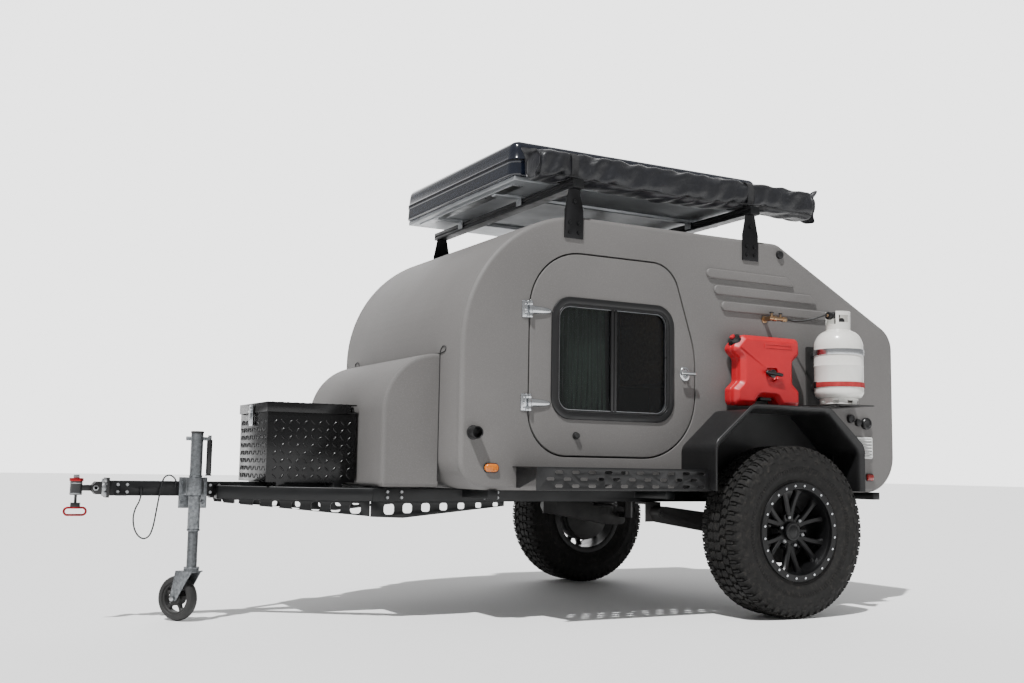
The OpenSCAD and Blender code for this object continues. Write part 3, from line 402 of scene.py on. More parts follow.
def door(inset=0):
    """Outline of a door."""
    return rounded([[1334, 768, 200], [1334, 1736, 280], [520, 1736, 160], [377, 1300, 500],
                    [377, 768, 310]], inset, 16)


# Fine-textured polyurethane: dull warm grey, the grain drawn at 5 mm so that it shows, with
# brighter specks painted on as highlights where the grit stands up
body_coat = coated("textured_grey_polyurethane", "#605e5d", "#686665", 0.62, 5.0, 0.32, 700, 0.05)
grit_at = add(body_coat, "ShaderNodeTexCoord").outputs["Object"]
# Painted highlights: the middles of 7 mm cells are lighter, for light caught on the raised grit
grit = add(body_coat, "ShaderNodeTexVoronoi", {"Vector": grit_at, "Scale": 1000 / 7}).outputs[0]
painted_grit_highlights = ramp(body_coat, grit, [(0.0, "#7b7977"), (0.22, "#646261"), (1.0, "#605e5c")])
dust = add(body_coat, "ShaderNodeTexNoise", {"Vector": grit_at, "Scale": 1.6, "Detail": 4,
                                             "Roughness": 0.5}).outputs[0]
dusty = ramp(body_coat, dust, [(0.35, 0.92), (0.7, 1.06)])
add(body_coat, "ShaderNodeMixRGB", {"Color1": painted_grit_highlights, "Color2": dusty, "Fac": 1.0}, "Base Color",
    blend_type="MULTIPLY")

wall_in, wall_out, wall_edge_r = 714, 746, 24  # faces of the side wall, and its outer edge
roof_half, panel_t = 714.2, 32
door_gap = 8
door_centre = np.array([863.0, 1232.0])
cabin_angles = ray_angles([cabin(), door(-door_gap)], door_centre, 180)


def framed_panel(outer, hole, centre, angles, y_in, y_out, edge_r, hole_r, quarter=6):
    """A panel with a hole: rings from the hole's back edge, round its eased front edge, over the
    face, and round the outer edge of radius r: inset r (1 - sin a) at y_out - r (1 - cos a)."""
    def ring(outline, y):
        return upright(on_rays(outline, centre, angles), y)
    a = np.linspace(0, np.pi / 2, quarter + 1)
    rings = [ring(hole(0), y_in)]
    rings += [ring(hole(-hole_r * (1 - np.cos(t))), y_out - hole_r * (1 - np.sin(t))) for t in a]
    rings += [ring(outer(edge_r * (1 - np.sin(t))), y_out - edge_r * (1 - np.cos(t))) for t in a]
    rings += [ring(outer(0), y_in)]
    return np.stack(rings), {"loop": True}


pair("side_wall_", [framed_panel(cabin, lambda t: door(-door_gap + t), door_centre, cabin_angles,
                                 wall_in, wall_out, wall_edge_r, 2.5)],
     body_coat, "trailer", "body_coating", "wall_")


def bent_panel(outline, centre, start, end, y_half, thickness, ease, extra=90):
    """A panel bent along part of an outline: for each ray from start to end the profile
    (inset, y) of a flat bar with eased edges."""
    corner = np.arctan2(*(outline(0) - centre).T[::-1])
    span = (end - start) % (2 * np.pi)
    along = (np.concatenate([corner - start, np.linspace(0, span, extra)]) % (2 * np.pi))
    angles = start + np.unique(np.round(along[along <= span + 1e-6], 4))
    angles = (angles + np.pi) % (2 * np.pi) - np.pi
    profile = [(0, -y_half + ease), (0, y_half - ease), (ease * 0.3, y_half - ease * 0.3),
               (ease, y_half), (thickness, y_half), (thickness, -y_half), (ease, -y_half),
               (ease * 0.3, -y_half + ease * 0.3)]
    return np.stack([upright(on_rays(outline(t), centre, angles), y) for t, y in profile], 1)


def direction(x, z, centre):
    """The angle of a point seen from centre."""
    return math.atan2(z - centre[1], x - centre[0])


shell_centre = np.array([100.0, 1250.0])
roof_start = direction(-168, 1922, shell_centre)
piece("bent_roof", [bent_panel(cabin, shell_centre, direction(1544, 604, shell_centre), roof_start,
                               roof_half, panel_t, 0.5)],
      body_coat, "trailer", "body_coating", "roof_skin")
piece("tail_panel", [bent_panel(cabin, shell_centre, direction(-1018, 1009, shell_centre),
                                direction(-818, 604, shell_centre), roof_half, panel_t, 0.5)],
      body_coat, "trailer", "body_coating", "rear_panel")


def raised(corners, levels, steps=12):
    """A plate standing on a wall: rings of a rounded outline at (inset, y), closed on top."""
    return np.stack([upright(rounded(corners, t, steps), y) for t, y in levels])


def rectangle(x0, x1, z0, z1, r):
    """The corners of a rectangle, all of one radius."""
    return [[x0, z0, r], [x1, z0, r], [x1, z1, r], [x0, z1, r]]


# Raised strips: pressed aluminium blisters bonded to the walls, coated with them
strips = []
for i in range(3):
    z, front, rear = 1744 - 82 * i, 303 - 48 * i, -234 - 160 * i
    strips.append(raised([[front, z, 24.5], [rear, z, 8], [rear - 60, z - 50, 8],
            [front, z - 50, 24.5]], [(0, 745), (0, 751), (1, 754.5), (3, 757), (5.5, 758),
            (7.9, 758.2)]))
pair("raised_strips_", strips, body_coat, "trailer", "body_coating")

# Floor: sealed plywood over the frame, black below
floor_board = coated("sealed_black_floor_board", "#1a1a1a", "#242423", 0.6, 3.0, 0.15, 150)
eased("cabin_floor", floor_board, 1.5)

# Front pod: the same composite and coating, bent over a quarter circle and closed at both ends
pod = np.stack([upright(rounded([[1640, 612, 0.5], [1970, 612, 20], [1970, 1235, 275],
                                 [1640, 1235, 0.5]], t, 24), y)
                for t, y in [(20, -520), (13, -519.4), (6, -516), (1.5, -508), (0, -500), (0, 500),
                             (1.5, 508), (6, 516), (13, 519.4), (20, 520)]])
pod[:, :, 0] = np.maximum(pod[:, :, 0], 1688.5)
piece("front_pod_shell", [pod], body_coat, "trailer", "body_coating", "front_pod")
# Joint of the pod's top with the cabin: a thin bead of black sealant
sealant = coated("black_polyurethane_sealant", "#141414", "#1b1b1b", 0.5, 6.0, 0.3, 60)
bead = np.array([[1691, -519, 640], [1691, -519, 1220], [1691, -505, 1236], [1691, 505, 1236],
                 [1691, 519, 1220], [1691, 519, 640]], float)
piece("pod_sealant", [tube(catmull(bead, 10), 2.6, 8)], sealant, "trailer", "black_plastic",
      sharp=80)

# ---------------------------------------------------------------------------
# Rear hatch: the same bent panel, as wide as the gap between the side walls, and the stainless
# steel of every hinge and handle.
# ---------------------------------------------------------------------------
piece("hatch_panel", [bent_panel(cabin, shell_centre, direction(-176, 1922, shell_centre),
                                 direction(-1018, 1015, shell_centre), 708, panel_t, 4)],
      body_coat, "hatch", "door_coating", "hatch")
stainless = coated("polished_stainless_steel", "#b9bcbf", "#d3d5d7", 0.2, 30.0, 0.02, 60, 0.05,
                   Metallic=1.0)


def round_bar(start, end, levels, sides):
    """A bar from start to end whose rings are (r, h) in levels(length):
    start + h * axis + r (cos a * u + sin a * v)."""
    start, end = np.asarray(start, float), np.asarray(end, float)
    length = np.linalg.norm(end - start)
    axis = (end - start) / length
    r, h = levels(length)
    u = unit(np.cross(axis, [0.0, 0.0, 1.0] if abs(axis[2]) < 0.9 else [1.0, 0.0, 0.0]))
    a = full_turn(sides)[None, :, None]
    return (start + h[:, None, None] * axis
            + r[:, None, None] * (np.cos(a) * u + np.sin(a) * np.cross(axis, u)))


def rod(start, end, radius, sides=32, ease=1.0):
    """A turned rod from start to end with its ends eased:
    (r, h) = (r - e, 0) (r, e) (r, l - e) (r - e, l)."""
    return round_bar(start, end, lambda length: (np.array([radius - ease, radius - ease * 0.3,
              radius, radius, radius - ease * 0.3, radius - ease]),
          np.array([0, ease * 0.3, ease, length - ease, length - ease * 0.3, length])), sides)


def block(x0, x1, y0, y1, z0, z1, ease=2.0, steps=3):
    """A bar with every arris eased: rectangles with inset e (1 - sin a) at height e (1 - cos a)."""
    a = np.linspace(0, np.pi / 2, steps + 1)
    levels = [(ease * (1 - math.sin(t)) * 0.98, z0 + ease * (1 - math.cos(t))) for t in a]
    levels += [(ease * (1 - math.sin(t)) * 0.98, z1 - ease * (1 - math.cos(t))) for t in a[::-1]]
    return raised(rectangle(x0, x1, y0, y1, ease), levels, 4)[:, :, [0, 2, 1]]


hatch_parts, roof_parts = [], []
for y in (-500, 0, 500):
    hatch_parts += [rod([-175, y - 30, 1932], [-175, y + 30, 1932], 9),
                    block(-215, -176, y - 30, y + 30, 1908, 1927, 1.5)]
    roof_parts += [rod([-175, y + s * 31, 1932], [-175, y + s * 91, 1932], 9) for s in (-1, 1)]
    roof_parts += [block(-175, -129, *sorted((y + s * 31, y + s * 91)), 1922, 1927, 1.5)
                   for s in (-1, 1)]
piece("hatch_hinge_leaves", hatch_parts, stainless, "hatch", "stainless")
seal_rubber = coated("black_epdm_rubber", "#121212", "#1a1a1a", 0.6, 4.0, 0.1, 40)

# ---------------------------------------------------------------------------
# Doors: flat panels of the same composite with a rubber seal in the gap, a sliding window in a
# moulded black frame, two stainless hinges, a T-handle and a rubber stop.
# ---------------------------------------------------------------------------
door_angles = ray_angles([door(), rounded(rectangle(521, 1205, 954, 1510, 90))], door_centre, 120)


def window(inset=0, steps=10):
    """Outline of the window frame, rim outside."""
    return rounded(rectangle(506.5, 1219.5, 939, 1525, 105), inset, steps)


frame_plastic = coated("moulded_black_abs", "#0e0e0f", "#161617", 0.36, 3.0, 0.06, 60)
bright_anodised = coated("clear_anodised_aluminium", "#8b8d8f", "#a4a6a8", 0.34, 2.0, 0.03, 50,
                         Metallic=1.0)
# Tinted safety glass: nearly black from outside, mirror smooth, over half of the light passes
tinted_glass = new_material("tinted_safety_glass", Base_Color=linear("#07090a"), Roughness=0.03,
                            IOR=1.5, Alpha=0.42, Specular_IOR_Level=0.8)
# Dark green polyester curtain: plain weave, the thread drawn at 1.2 mm, sheen at its folds
curtain_cloth = new_material("green_polyester_curtain", Roughness=0.85, Sheen_Weight=0.35,
                             Sheen_Roughness=0.5)
curtain_at = add(curtain_cloth, "ShaderNodeTexCoord").outputs["UV"]
weave, weft = (add(curtain_cloth, "ShaderNodeTexWave",
                   {"Vector": curtain_at, "Scale": 130.0, "Distortion": 0.6},
                   bands_direction=way).outputs[1] for way in "XY")
both_ways = add(curtain_cloth, "ShaderNodeMath", {0: weave, 1: weft}, operation="ADD").outputs[0]
half_ways = add(curtain_cloth, "ShaderNodeMath", {0: both_ways, 1: 0.5}, operation="MULTIPLY")
ramp(curtain_cloth, half_ways.outputs[0], [(0.1, "#35483d"), (0.9, "#3f5548")], "Base Color")
add(curtain_cloth, "ShaderNodeBump", {"Height": half_ways.outputs[0], "Distance": 0.0002,
                                      "Strength": 0.15}, "Normal")


def rim_profile(levels):
    """Rings of the window outline at (inset, y), joined last to first."""
    return np.stack([upright(window(t), y) for t, y in levels]), {"loop": True}


def capsule(start, end, radius):
    """A round bar with domed ends: radius r cos a where it stands r sin a past each end."""
    a = np.linspace(-np.pi / 2, 0, 7)
    return round_bar(start, end, lambda length: (
        np.maximum(radius * np.cos(np.concatenate([a, a[::-1]])), 0.05),
        np.concatenate([radius * np.sin(a), length - radius * np.sin(a[::-1])])), 24)


def disc(x, z, profile, stretch=1):
    """A turned fitting on the wall: rings of radius r, stretched in z, at y, from (r, y)."""
    t = full_turn(40)
    return np.stack([upright(np.stack([x + r * np.cos(t), z + stretch * r * np.sin(t)], -1), y)
                     for r, y in profile])


def bullet_leaf(z):
    """A hinge leaf that tapers like a bullet from the pin to its nose: at share s of its length
    its half height is 20 (1 - 0.3 s) (1 - s^6)^0.5, and its section is half an ellipse."""
    s = np.linspace(0, 1, 22)
    half = 20 * (1 - 0.30 * s) * np.sqrt(np.clip(1 - s**6, 0.0006, 1))
    thick = 15.0 * (1 - 0.38 * s) * np.sqrt(np.clip(1 - s**6, 0.0006, 1))
    a = np.linspace(0, np.pi, 15)[None, :]
    across = np.sign(np.cos(a)) * np.abs(np.cos(a)) ** 0.8 * half[:, None]
    out = np.sin(a) ** 0.8 * thick[:, None]
    return np.stack([np.broadcast_to((1330 - 112 * s)[:, None], across.shape), wall_out + out,
                     z + across], -1)


pair("door_panel_",
     [framed_panel(door, lambda t: window(30 + t), door_centre, door_angles, wall_in, wall_out,
                   4.0, 1.0)],
     body_coat, "door_", "door_coating", "door_")
# The seal stands in the gap just under the face, carried by the door
pair("door_seal_", [(np.stack([upright(door(t), y) for t, y in
                               [(0.2, 719), (-4.2, 720), (-5.2, 728), (-3.5, 736), (0.2, 737)]]),
                     {"caps": (False, False)})],
     seal_rubber, "door_", "black_plastic", sharp=80)
pair("window_frame_moulded_",
     [rim_profile([(0, 746), (0.4, 750), (2.5, 753), (6, 754.2), (27, 754.2), (30, 753),
                   (31, 750.5), (35, 750.2), (36.5, 752), (39, 752.6), (41.5, 752),
                   (44, 748), (45, 744), (45, 719), (30.5, 719), (30.5, 746)]),
      block(846, 860, 728, 745, 983, 1481, 2), block(865, 880, 734, 747, 983, 1481, 2),
      block(860, 865, 730, 738, 983, 1481, 1)],
     frame_plastic, "door_", "window_black", "window_frame_")
pair("glazing_channel_",
     [rim_profile([(45.2, 743), (48.5, 743), (48.5, 741), (46.5, 741), (46.5, 730), (45.2, 730)])],
     bright_anodised, "door_", "rack_alloy")
# Hinge leaves, and a T-handle with its escutcheon
hinge_z, handle_x, handle_z = (1010, 1447), 439, 1190
fittings = [bullet_leaf(z) for z in hinge_z]
fittings += [rod([1338, 758, z - 18], [1338, 758, z + 18], 9) for z in hinge_z]
fittings += [block(1320, 1338, 747, 757, z - 18, z + 18, 2) for z in hinge_z]
fittings += [disc(handle_x, handle_z, [(30, 746), (30, 749), (28, 752), (20, 754), (18, 752),
        (13, 752)], 1.25), rod([handle_x, 750, handle_z], [handle_x, 776, handle_z], 8.5),
    capsule([handle_x - 37, 781, handle_z], [handle_x + 37, 781, handle_z], 9)]
pair("door_hardware_", fittings, stainless, "door_", "stainless", "door_fittings_")
pair("door_stop_", [rod([1079, 746, 863], [1079, 766, 863], 14, ease=3),
                    rod([1079, 746, 863], [1079, 750, 863], 18, ease=1)],
     seal_rubber, "door_", "black_plastic")
pair("curtain_rail_", [capsule([500, 695, 1541], [1226, 695, 1541], 4.5),
                       block(500, 512, 698, 714, 1536, 1546, 1.5),
                       block(1214, 1226, 698, 714, 1536, 1546, 1.5)],
     bright_anodised, "door_", "rack_alloy")
# Curtain: depth A(v) sin(2 pi 12 u + phase(v)), pleats tight at the rail and wandering below
curtain_u = np.linspace(0, 1, 241)[None, :]
curtain_v = np.linspace(0, 1, 56)[:, None]
wander = 0.9 * np.sin(2.1 * curtain_v + 3.0 * curtain_u) * curtain_v
depth = (3.2 + 2.6 * curtain_v) * np.sin(2 * np.pi * 12 * curtain_u + wander * 2.4) \
    + 1.1 * np.sin(2 * np.pi * 29 * curtain_u + 4 * curtain_v)
cloth_points = np.stack([883 + 320 * curtain_u + 0 * curtain_v
                         + 5 * np.sin(5 * curtain_v + 9 * curtain_u) * curtain_v,
                         694.5 + depth,
                         1534.5 - 612 * curtain_v + 2.0 * np.sin(2 * np.pi * 12 * curtain_u)
                         * curtain_v], -1)
for side in ("left", "right"):
    glass = frame["nodes"]["glass_" + side]
    glass.data.materials.clear()
    glass.data.materials.append(tinted_glass)
    curtain = piece("curtain_cloth_" + side,
                    [(cloth_points, {"caps": (False, False), "open_rings": True})],
                    curtain_cloth, "door_" + side, "curtain_cloth", "curtain_" + side, closed=False,
                    sharp=120, mirrored=side == "right")
    layer = curtain.data.uv_layers.new(name="cloth")
    loops = np.empty(len(curtain.data.loops), np.int32)
    curtain.data.loops.foreach_get("vertex_index", loops)
    lengths = np.concatenate([[0], np.cumsum(np.linalg.norm(np.diff(cloth_points[20], axis=0),
              axis=1))])
    uv_grid = np.stack(np.broadcast_arrays(lengths[None, :] / 1000, 0.612 * curtain_v), -1)
    layer.data.foreach_set("uv", uv_grid.reshape(-1, 2)[loops].astype(np.float32).ravel())

# The halves of the hinges that stay on the walls and on the roof, and their pins
wall_hinges = []
for sign in (1, -1):
    for z in hinge_z:
        wall_hinges += [block(1345, 1381, z - 40, z + 40, 746, 751, 4)[:, :, [0, 2, 1]]
            * [1, sign, 1], rod([1338, sign * 758, z - 40], [1338, sign * 758, z + 40], 5)]
        for s in (-1, 1):
            zc = z + s * 29.5
            wall_hinges += [rod([1338, sign * 758, zc - 10.5], [1338, sign * 758, zc + 10.5], 9),
                            block(1338, 1356, *sorted((sign * 747, sign * 758)), zc - 10.5,
                                  zc + 10.5, 2)]
        wall_hinges += bolts([[1364, sign * 751, z + s * 26] for s in (-1, 0, 1)], (0, sign, 0),
                             5.5, 3, 20, 0.6)
piece("fixed_hinge_halves", wall_hinges + roof_parts
      + [rod([-175, y - 90, 1932], [-175, y + 90, 1932], 5) for y in (-500, 0, 500)],
      stainless, "trailer", "stainless", "fixed_hinges")

# ---------------------------------------------------------------------------
# Fenders: bent 4 mm plate over each wheel, its outer edge flared and rolled round a bead, in
# coarse-textured black powder coat, with a bracket and two bolts inside at the rear.
# ---------------------------------------------------------------------------
# Textured powder coat: black with a coarse grain, drawn at 4 mm, and bright specks of mica
texture_coat = coated("textured_black_powder_coat", "#0b0b0c", "#131315", 0.46, 4.0, 0.22, 160)
mica_at = add(texture_coat, "ShaderNodeTexCoord").outputs["Object"]
mica = add(texture_coat, "ShaderNodeTexVoronoi", {"Vector": mica_at,
      "Scale": 1000 / 5.0}).outputs[0]
ramp(texture_coat, mica, [(0.0, "#5a5a5e"), (0.12, "#161618"), (0.3, "#0d0d0e"), (1.0, "#0a0a0b")],
     "Base Color")


def fender_line(out):
    """Side outline of a fender, moved outwards by out, from its front foot to its rear foot."""
    return rounded([[-458 - out, 614, 0], [-458 - out, 822 + out, 60],
          [-240 - out / 2, 1012 + out, 60], [240 + out / 2, 1012 + out, 60],
          [458 + out, 822 + out, 60], [458 + out, 614, 0]], 0, 14)


fender_section = [(0, 746), (0.5, 760), (1.2, 880), (0.8, 1000), (1.5, 1014), (4, 1026), (9, 1035),
                  (15, 1040), (20, 1042), (23.5, 1044), (25, 1047.5), (23.5, 1050.5), (20, 1051.5),
                  (16.5, 1050), (13, 1045.5), (6, 1040), (0, 1031), (-3, 1018), (-4, 1000),
                  (-4, 880), (-4, 760), (-4, 746)]
pair("fender_plate_", [np.stack([upright(fender_line(out), y) for out, y in fender_section], 1)],
     texture_coat, "trailer", "black_texture", "fender_", sharp=40)
# Black liner on the wall inside each fender: partly a black plate, partly painted shade where the
# fender and tyre shade the wall
pair("fender_liner_and_shade_", [np.stack([upright(fender_line(-3.9), y) for y in (745.5, 748)])],
     texture_coat, "trailer", "black_texture")
pair("fender_brackets_",
     [block(-451, -446, 790, 860, 660, 800, 2), block(-449, -380, 790, 796, 700, 760, 2)]
     + bolts([[-445, 825, z] for z in (690, 770)], (1, 0, 0), 9, 7),
     frame_coat, "trailer", "black_texture")

# Steps: folded plate with cut slots on three brackets, in the same textured coating
for side in ("left", "right"):
    eased("step_" + side, texture_coat, 1.6)

# ---------------------------------------------------------------------------
# Wheels: cast alloy rims in satin black with a bolted outer ring, and all-terrain tyres with five
# rows of tread blocks and lugs that reach down the sidewalls.
# ---------------------------------------------------------------------------
# Cast and painted alloy: satin black, very smooth, a little dust in the dish
rim_paint = coated("satin_black_painted_alloy", "#070708", "#0d0d0e", 0.38, 9.0, 0.04, 70,
                   Specular_IOR_Level=0.3, Coat_Weight=0.08, Coat_Roughness=0.2)
# Tyre rubber: charcoal, dusty on the flanks and in the grooves, with a fine moulded grain
tyre_rubber = coated("carbon_black_tyre_rubber", "#171717", "#232221", 0.74, 3.0, 0.12, 60, 0.08,
                     Specular_IOR_Level=0.28)
grime_at = add(tyre_rubber, "ShaderNodeTexCoord").outputs["Object"]
grime = add(tyre_rubber, "ShaderNodeTexNoise", {"Vector": grime_at, "Scale": 45.0, "Detail": 8,
                                                "Roughness": 0.7}).outputs[0]
ramp(tyre_rubber, grime, [(0.3, "#0e0e0e"), (0.55, "#181716"), (0.78, "#34312d")], "Base Color")


half_track, tyre_r, block_count = 966, 419, 56


def turned(profile, segments=96, loop=False):
    """A profile (r, h) carried round the wheel's axis: (r cos a, h, r sin a)."""
    r, h = np.array(profile, float).T
    a = full_turn(segments)[None, :]
    rings = np.stack([r[:, None] * np.cos(a), np.broadcast_to(h[:, None], (len(r), segments)),
                      r[:, None] * np.sin(a)], -1)
    return rings, {"loop": loop}


def crown(y):
    """Radius of the tread's surface at a distance y from the tyre's middle."""
    return np.interp(np.abs(y), [0, 60, 100, 114, 122, 128, 134],
                     [tyre_r, 418.5, 417.4, 415.6, 408, 396, 378])


def tread(outline, count, depth, shift=0.0, lean=0.0):
    """count blocks round the tyre. A block's outline is (share of the pitch, y); each corner stands
    at radius crown(y) - depth at its foot, and its top is drawn in a little."""
    a, y = np.array(outline, float).T
    middle = a.mean(), y.mean()
    k = (np.arange(count) + shift)[:, None]
    rings = []
    for drop, grow in ((depth, 1.06), (1.6, 1.0), (0, 0.93)):
        aa, yy = middle[0] + (a - middle[0]) * grow, middle[1] + (y - middle[1]) * grow
        t = 2 * np.pi * (k + aa[None] + lean * yy[None] / 100) / count
        r = crown(yy)[None] - drop
        rings.append(np.stack([r * np.cos(t), np.broadcast_to(yy[None], t.shape), r * np.sin(t)],
              -1))
    return [(ring, {"caps": (False, True)}) for ring in np.stack(rings, 1)]


sidewall = [(216, 102), (224, 110), (232, 113), (242, 113.5), (245, 115.5), (248, 114.5),
    (251, 116.5), (254, 115.5), (262, 119), (284, 127), (286, 128.6), (296, 130.6), (298, 130.4),
    (314, 133), (316, 134.2), (320, 134.4), (322, 133.4), (350, 133.6), (366, 132), (378, 129.5),
    (390, 124), (400, 116), (405, 106), (406.5, 88), (407, 66), (407, 64)]
casing = sidewall + [(407, 0)] + [(r, -h) for r, h in sidewall[::-1]]


def biters(count, r_low, r_high, share, shift, side_of):
    """Lugs on the sidewall: four corners at angle shares of the pitch between two radii, standing
    3.2 mm out of the flank."""
    flank = np.interp([r_low, r_high], [284, 322, 350, 366, 378, 390, 400],
                      [127, 133.4, 133.6, 132, 129.5, 124, 116])
    k = (np.arange(count) + shift)[:, None]
    corners = [(-share, 0), (share, 0), (share * 0.8, 1), (-share * 0.8, 1)]
    rings = []
    for out, grow in ((-2.0, 1.1), (2.4, 1.0), (3.2, 0.88)):
        t = np.stack([2 * np.pi * (k[:, 0] + c * grow) / count for c, _ in corners], 1)
        r = np.array([(r_low if e == 0 else r_high) + (1 - grow) * (12 if e == 0 else -12)
                      for _, e in corners])
        h = np.array([flank[e] + out for _, e in corners]) * side_of
        rings.append(np.stack([r * np.cos(t), np.broadcast_to(h, t.shape), r * np.sin(t)], -1))
    return [(ring, {"caps": (False, True)}) for ring in np.stack(rings, 1)]


tread_blocks = []
tread_blocks += tread([(0.10, -17), (0.42, -22), (0.88, -15), (0.90, -2), (0.72, 0), (0.90, 4),
                       (0.86, 18), (0.52, 22), (0.10, 15), (0.10, 3), (0.26, 0), (0.10, -4)],
                      block_count, 11)
for s, shift in ((1, 0.0), (-1, 0.5)):
    tread_blocks += tread([(0.12, s * 30), (0.5, s * 26), (0.86, s * 31), (0.92, s * 46),
          (0.70, s * 50), (0.84, s * 62), (0.42, s * 66), (0.08, s * 58), (0.30, s * 46)],
        block_count, 11, 0.5 + shift)
    tread_blocks += tread([(0.10, s * 74), (0.60, s * 70), (0.66, s * 92), (0.62, s * 118),
                           (0.60, s * 127), (0.12, s * 127), (0.08, s * 118), (0.16, s * 92)],
                          block_count, 11, 0.1 + shift)
    tread_blocks += tread([(0.72, s * 76), (0.96, s * 76), (0.98, s * 112), (0.76, s * 112)],
                          block_count, 7, 0.1 + shift)
    tread_blocks += biters(28, 352, 395, 0.17, (0.46 + shift) / 2 + 0.1, s)
    tread_blocks += biters(28, 372, 395, 0.17, (0.46 + shift) / 2 + 0.6, s)
    # A ring of fine radial teeth half way down the flank
    tread_blocks += biters(120, 298, 312, 0.24, 0.0, s)


def spoke(turn, spread, r0, r1, w0, w1):
    """One arm of a split spoke: a bar of width w and depth d with cut corners, carried from the hub
    to the ring; its middle swings from turn to turn + spread."""
    s = np.linspace(0, 1, 14)
    angle = turn + spread * (0.18 + 0.82 * s ** 0.8)
    r = r0 + (r1 - r0) * s
    centre = np.stack([r * np.cos(angle), 46 + 14 * s ** 2, r * np.sin(angle)], -1)
    along = unit(np.gradient(centre, axis=0))
    side_way = np.cross(along, [0, 1.0, 0])
    out = np.cross(side_way, along)
    w = (w0 + (w1 - w0) * s + 16 * np.exp(-((1 - s) / 0.07) ** 2) + 8 * np.exp(-(s / 0.12) ** 2))[:,
        None]
    d = 26.0
    shape = [(-0.5, -0.5), (0.5, -0.5), (0.5, 0.22), (0.30, 0.5), (-0.30, 0.5), (-0.5, 0.22)]
    return np.stack([centre + side_way * w * p + out * d * q for p, q in shape], 1)


def moved(shapes, change):
    """Shapes with all their points changed, and their options kept."""
    return [(change(shape[0]), shape[1]) if isinstance(shape, tuple) else change(shape)
            for shape in shapes]


def on_wheel(shapes):
    """Wheel shapes moved to the left wheel's middle: p + (0, half the track, tyre radius)."""
    return moved(shapes, lambda p: p + [0, half_track, tyre_r])


dish = [turned([(204, -118), (214, -122), (236, -121), (239, -117), (236, -113), (222, -111),
        (215, -104), (212, -60), (209, 0), (212, 70), (215, 100), (219, 109), (232, 113),
        (240, 114.5), (241.5, 119), (239, 123), (226, 122.5), (217, 118), (211, 106), (206, 92),
        (203, 60), (200, 30), (197, -10), (203, -70)], 120, loop=True),
    turned([(207, 108), (209, 124.5), (211, 126), (238, 126), (240.5, 124), (241, 119), (214, 119)],
      120, loop=True), turned([(0.1, 18), (60, 18), (64, 22), (64, 52), (60, 58), (0.1, 58)], 64),
    turned([(0.1, 50), (46, 50), (47, 74), (45.5, 78), (42, 80), (38, 80.5), (36, 79), (30, 79),
        (28, 80.5), (20, 82.5), (10, 83.6), (0.1, 84)], 64)]
for i in range(6):
    for spread in (-0.235, 0.235):
        dish.append(spoke(math.pi / 3 * i + math.pi / 6, spread, 48, 207, 30, 27))
    a = math.pi / 3 * i
    dish.append(spoke(a, 0.0, 50, 96, 28, 16))
drum = turned([(0.1, -92), (150, -92), (158, -88), (160, -80), (160, -16), (157, -10), (150, -6),
               (66, -4), (60, 0), (0.1, 0)], 72)
ring_bolts = bolts([[224.5 * math.cos(a), 125.5, 224.5 * math.sin(a)]
                    for a in np.arange(24) * math.pi / 12 + 0.13], (0, 1, 0), 6.2, 5.5, 12, 0.75)
lug_nuts = bolts([[69.85 * math.cos(a), 57, 69.85 * math.sin(a)] for a in np.arange(6) * math.pi / 3
      + 0.26], (0, 1, 0), 10, 18, 6, 0.62)
valve = [rod([196, 96, 30], [190, 118, 30], 4), rod([191, 112, 30], [188, 126, 30], 5.2)]
pair("tyre_carcass_", on_wheel([turned(casing, 168, loop=True)] + tread_blocks),
     tyre_rubber, "wheel_", "tyre_rubber", "tyre_", sharp=28)
pair("rim_cast_", on_wheel(dish), rim_paint, "wheel_", "rim_black", "rim_", sharp=30)
pair("ring_bolts_", on_wheel(ring_bolts), stainless, "wheel_", "stainless")
pair("lug_nuts_", on_wheel(lug_nuts), zinc_plate, "wheel_", "zinc")
pair("brake_drum_", on_wheel([drum]), chassis_paint, "wheel_", "suspension_steel")
pair("valve_", on_wheel(valve), seal_rubber, "wheel_", "tyre_rubber")

# ---------------------------------------------------------------------------
# Fittings on the side walls: a tube that takes the door's stop, cable and water inlets, a louvre,
# marker lamps and the tail lamps; moulded plastic, screwed on.
# ---------------------------------------------------------------------------
white_plastic = coated("moulded_white_abs", "#c9cac8", "#dcdcda", 0.4, 3.0, 0.05, 80)
lens_amber, lens_red = (
    new_material(name, Base_Color=linear(colour), Roughness=0.16, IOR=1.49, Coat_Weight=0.6,
                 Emission_Color=linear(glow), Emission_Strength=0.12)
    for name, colour, glow in (("amber_acrylic_lens", "#c46a12", "#8a3c04"),
                               ("red_acrylic_lens", "#8e1210", "#5a0804")))
for lens in (lens_amber, lens_red):
    # Moulded prisms behind the lens, 4 mm apart
    prism_at = add(lens, "ShaderNodeTexCoord").outputs["Object"]
    prisms = add(lens, "ShaderNodeTexWave", {"Vector": prism_at, "Scale": 1000 / 4.0 / 6.28},
                 bands_direction="X").outputs[1]
    add(lens, "ShaderNodeBump", {"Height": prisms, "Distance": 0.0012, "Strength": 0.8}, "Normal")

